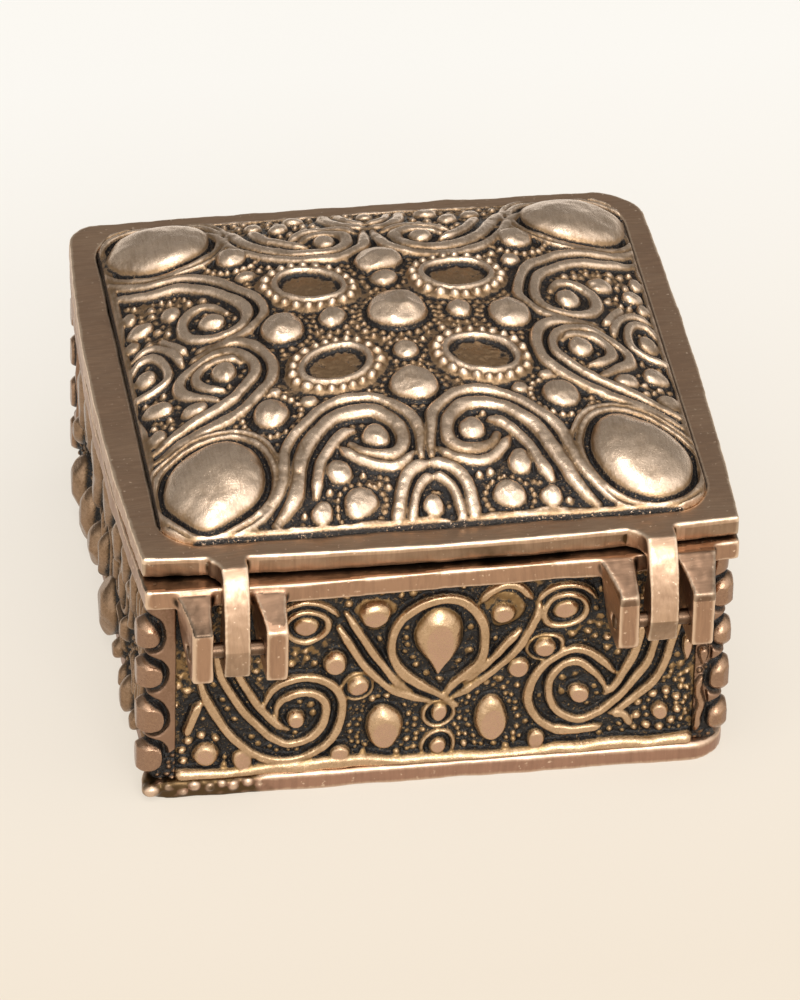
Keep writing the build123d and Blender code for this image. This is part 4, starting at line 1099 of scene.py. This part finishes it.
def make_post(node, turned, seed, shift=0.0, reach=0.0):
    """Casts a post and turns it to its corner; shift sets its ovals off towards one face, and reach is
    how much further they stand out on the other."""
    board = Carving(post_half + 0.5, wall_low_z - 1, wall_high_z + 1, seed)
    grid_s, grid_z = np.meshgrid(board.x, board.y)
    strip = np.full_like(board.height, post_skin)
    for z in post_oval_heights:
        hole = ((grid_s - shift) / post_hollow[0]) ** 2 + ((grid_z - z) / post_hollow[1]) ** 2
        strip = np.where(hole < 1, 0.0, strip)
    fade = np.clip((grid_z - 6.0 - 0.8 * np.abs(grid_s)) / 0.4, 0, 1)
    board.height = strip * fade
    board.facet = np.where(board.height > 0.9, 1.0, 0.0)
    for z in post_oval_heights:
        board.boss(shift, z, *post_oval, 0, 2.3 + reach)
    if shift > 0:
        board.height[:, board.x < -1.2] = 0
        board.rib(((-2.2, 5.0), (-2.6, 7.6), (-2.1, 10.2), (-2.6, 12.8), (-2.2, 15.0)), 0.7, 1.2)
        for z in (19.4, 26.4, 33.6):
            board.drop(-2.4, z, 0.85, 1.4, 2.4, 1.6)
    board.granules((-post_half, 3.0), (post_half, 38.0), 500, size=0.4, rise=0.5)
    finish_casting(board, seed)

    def limits(distance):
        """How far out the post may stand before it meets its two filed faces or the slant between."""
        x, y, out_x, out_y = post_frame(distance)
        faces = [(post_face + reach - x) / np.maximum(out_x, 1e-6), (post_face - y) / np.maximum(out_y, 1e-6),
                 (post_slant + 0.6 * reach - x - y) / (out_x + out_y)]
        return np.minimum.reduce(faces)

    def front(s, t):
        distance, z = s * post_half, wall_middle_z + t * wall_half_z
        x, y, out_x, out_y = post_frame(distance)
        height = np.minimum(sampled(board.height, board, distance, z), limits(distance))
        height *= np.sqrt(1 - (1 - np.clip((1 - np.abs(s)) * post_half / 0.25, 0, 1)) ** 2 * 0.75)
        return quarter_turned(x + out_x * height, y + out_y * height, z, turned)

    def back(s, t):
        side = post_inner + (post_ground - post_inner) * np.abs(s)
        x, y = np.where(s < 0, side, post_inner), np.where(s > 0, side, post_inner)
        return quarter_turned(x, y, wall_middle_z + t * wall_half_z, turned)

    mesh, s, t, back_count = slab_mesh(f"{node}_casting", 48, 240, front, back, stride=4)
    distance, z = s * post_half, wall_middle_z + t * wall_half_z
    over = sampled(board.height, board, distance, z) - limits(distance)
    paint(mesh, board, distance, z, back_count)
    cut = np.maximum(sampled(board.facet, board, distance, z), np.clip(over / 0.05, 0, 1))
    cut = np.concatenate([cut, np.zeros(back_count)]).astype(np.float32)
    mesh.attributes["facet"].data.foreach_set("value", cut)
    place_piece(mesh, f"{node}_casting", "box", node, post_brass)


make_post("rear_left_post", 0, 90, shift=-0.8, reach=0.7)
make_post("rear_right_post", 1, 91, shift=0.8)
make_post("front_right_post", 2, 92)
make_post("front_left_post", 3, 93)

# Base rail. A plain band brazed round the foot of the walls and filed smooth, coppery where
# it was polished last, and ground back under the bulging carving on the left side.
base_brass = filed_brass("base_filed_brass", (0.40, 0.235, 0.165), (0.31, 0.18, 0.125), (0.66, 0.48, 0.35),
                         (0.10, 0.062, 0.03))
# Beads fused on at the rear left corner: x, y, z and radius
base_beads = ((42.6, 44.2, 1.7, 1.35), (40.4, 44.2, 2.3, 1.0), (38.6, 44.6, 1.4, 0.8), (36.9, 44.4, 2.3, 1.1),
              (34.6, 44.5, 1.9, 1.0), (32.7, 44.6, 2.4, 0.8), (31.0, 44.4, 1.9, 1.1), (28.8, 44.5, 2.3, 0.9),
              (27.0, 44.6, 1.8, 0.7))


def ground_back(points):
    """The band ground back along its left side, under the bulging carving."""
    x, y, z = points.T
    along_side = np.clip((44 - np.abs(y)) / 4, 0, 1)
    rear_corner = np.clip((y - 40) / 3, 0, 1) * np.clip((x - 38) / 6, 0, 1)
    return np.stack([x - 0.85 * along_side * np.maximum(x - 43.2, 0) + 1.1 * rear_corner, y, z], 1)


def base_soil(points):
    """Grime round the beads of the rear left corner, where the band was never filed."""
    x, y, z = points.T
    rough = np.clip((x - 23) / 5, 0, 1) * np.clip((46.5 - x) / 3, 0, 1) * (y > 42)
    return rough * (0.3 + 0.45 * np.clip((45.1 - y) / 0.3, 0, 1) + 0.12 * soft_waves(points, 2.0, 5))


base_mesh = worn_copy("base_rail", "base_rail_band", 0.3, 4, 0.08, 101, reshape=ground_back, shade_and_soil=base_soil,
                      beads=base_beads)
place_piece(base_mesh, "base_rail_band", "box", "base_rail", base_brass)

# Base plate. A flat sheet of brass, brazed inside the base rail, which keeps its plain shape
# and is dull and sooty within the box.
plate_brass = filed_brass("plate_dull_brass", (0.40, 0.27, 0.16), (0.24, 0.16, 0.09), (0.6, 0.45, 0.3))
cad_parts["base_plate"].data.materials.clear()
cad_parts["base_plate"].data.materials.append(plate_brass)

# The visual model's box is measured at the end of each run
low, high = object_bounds()
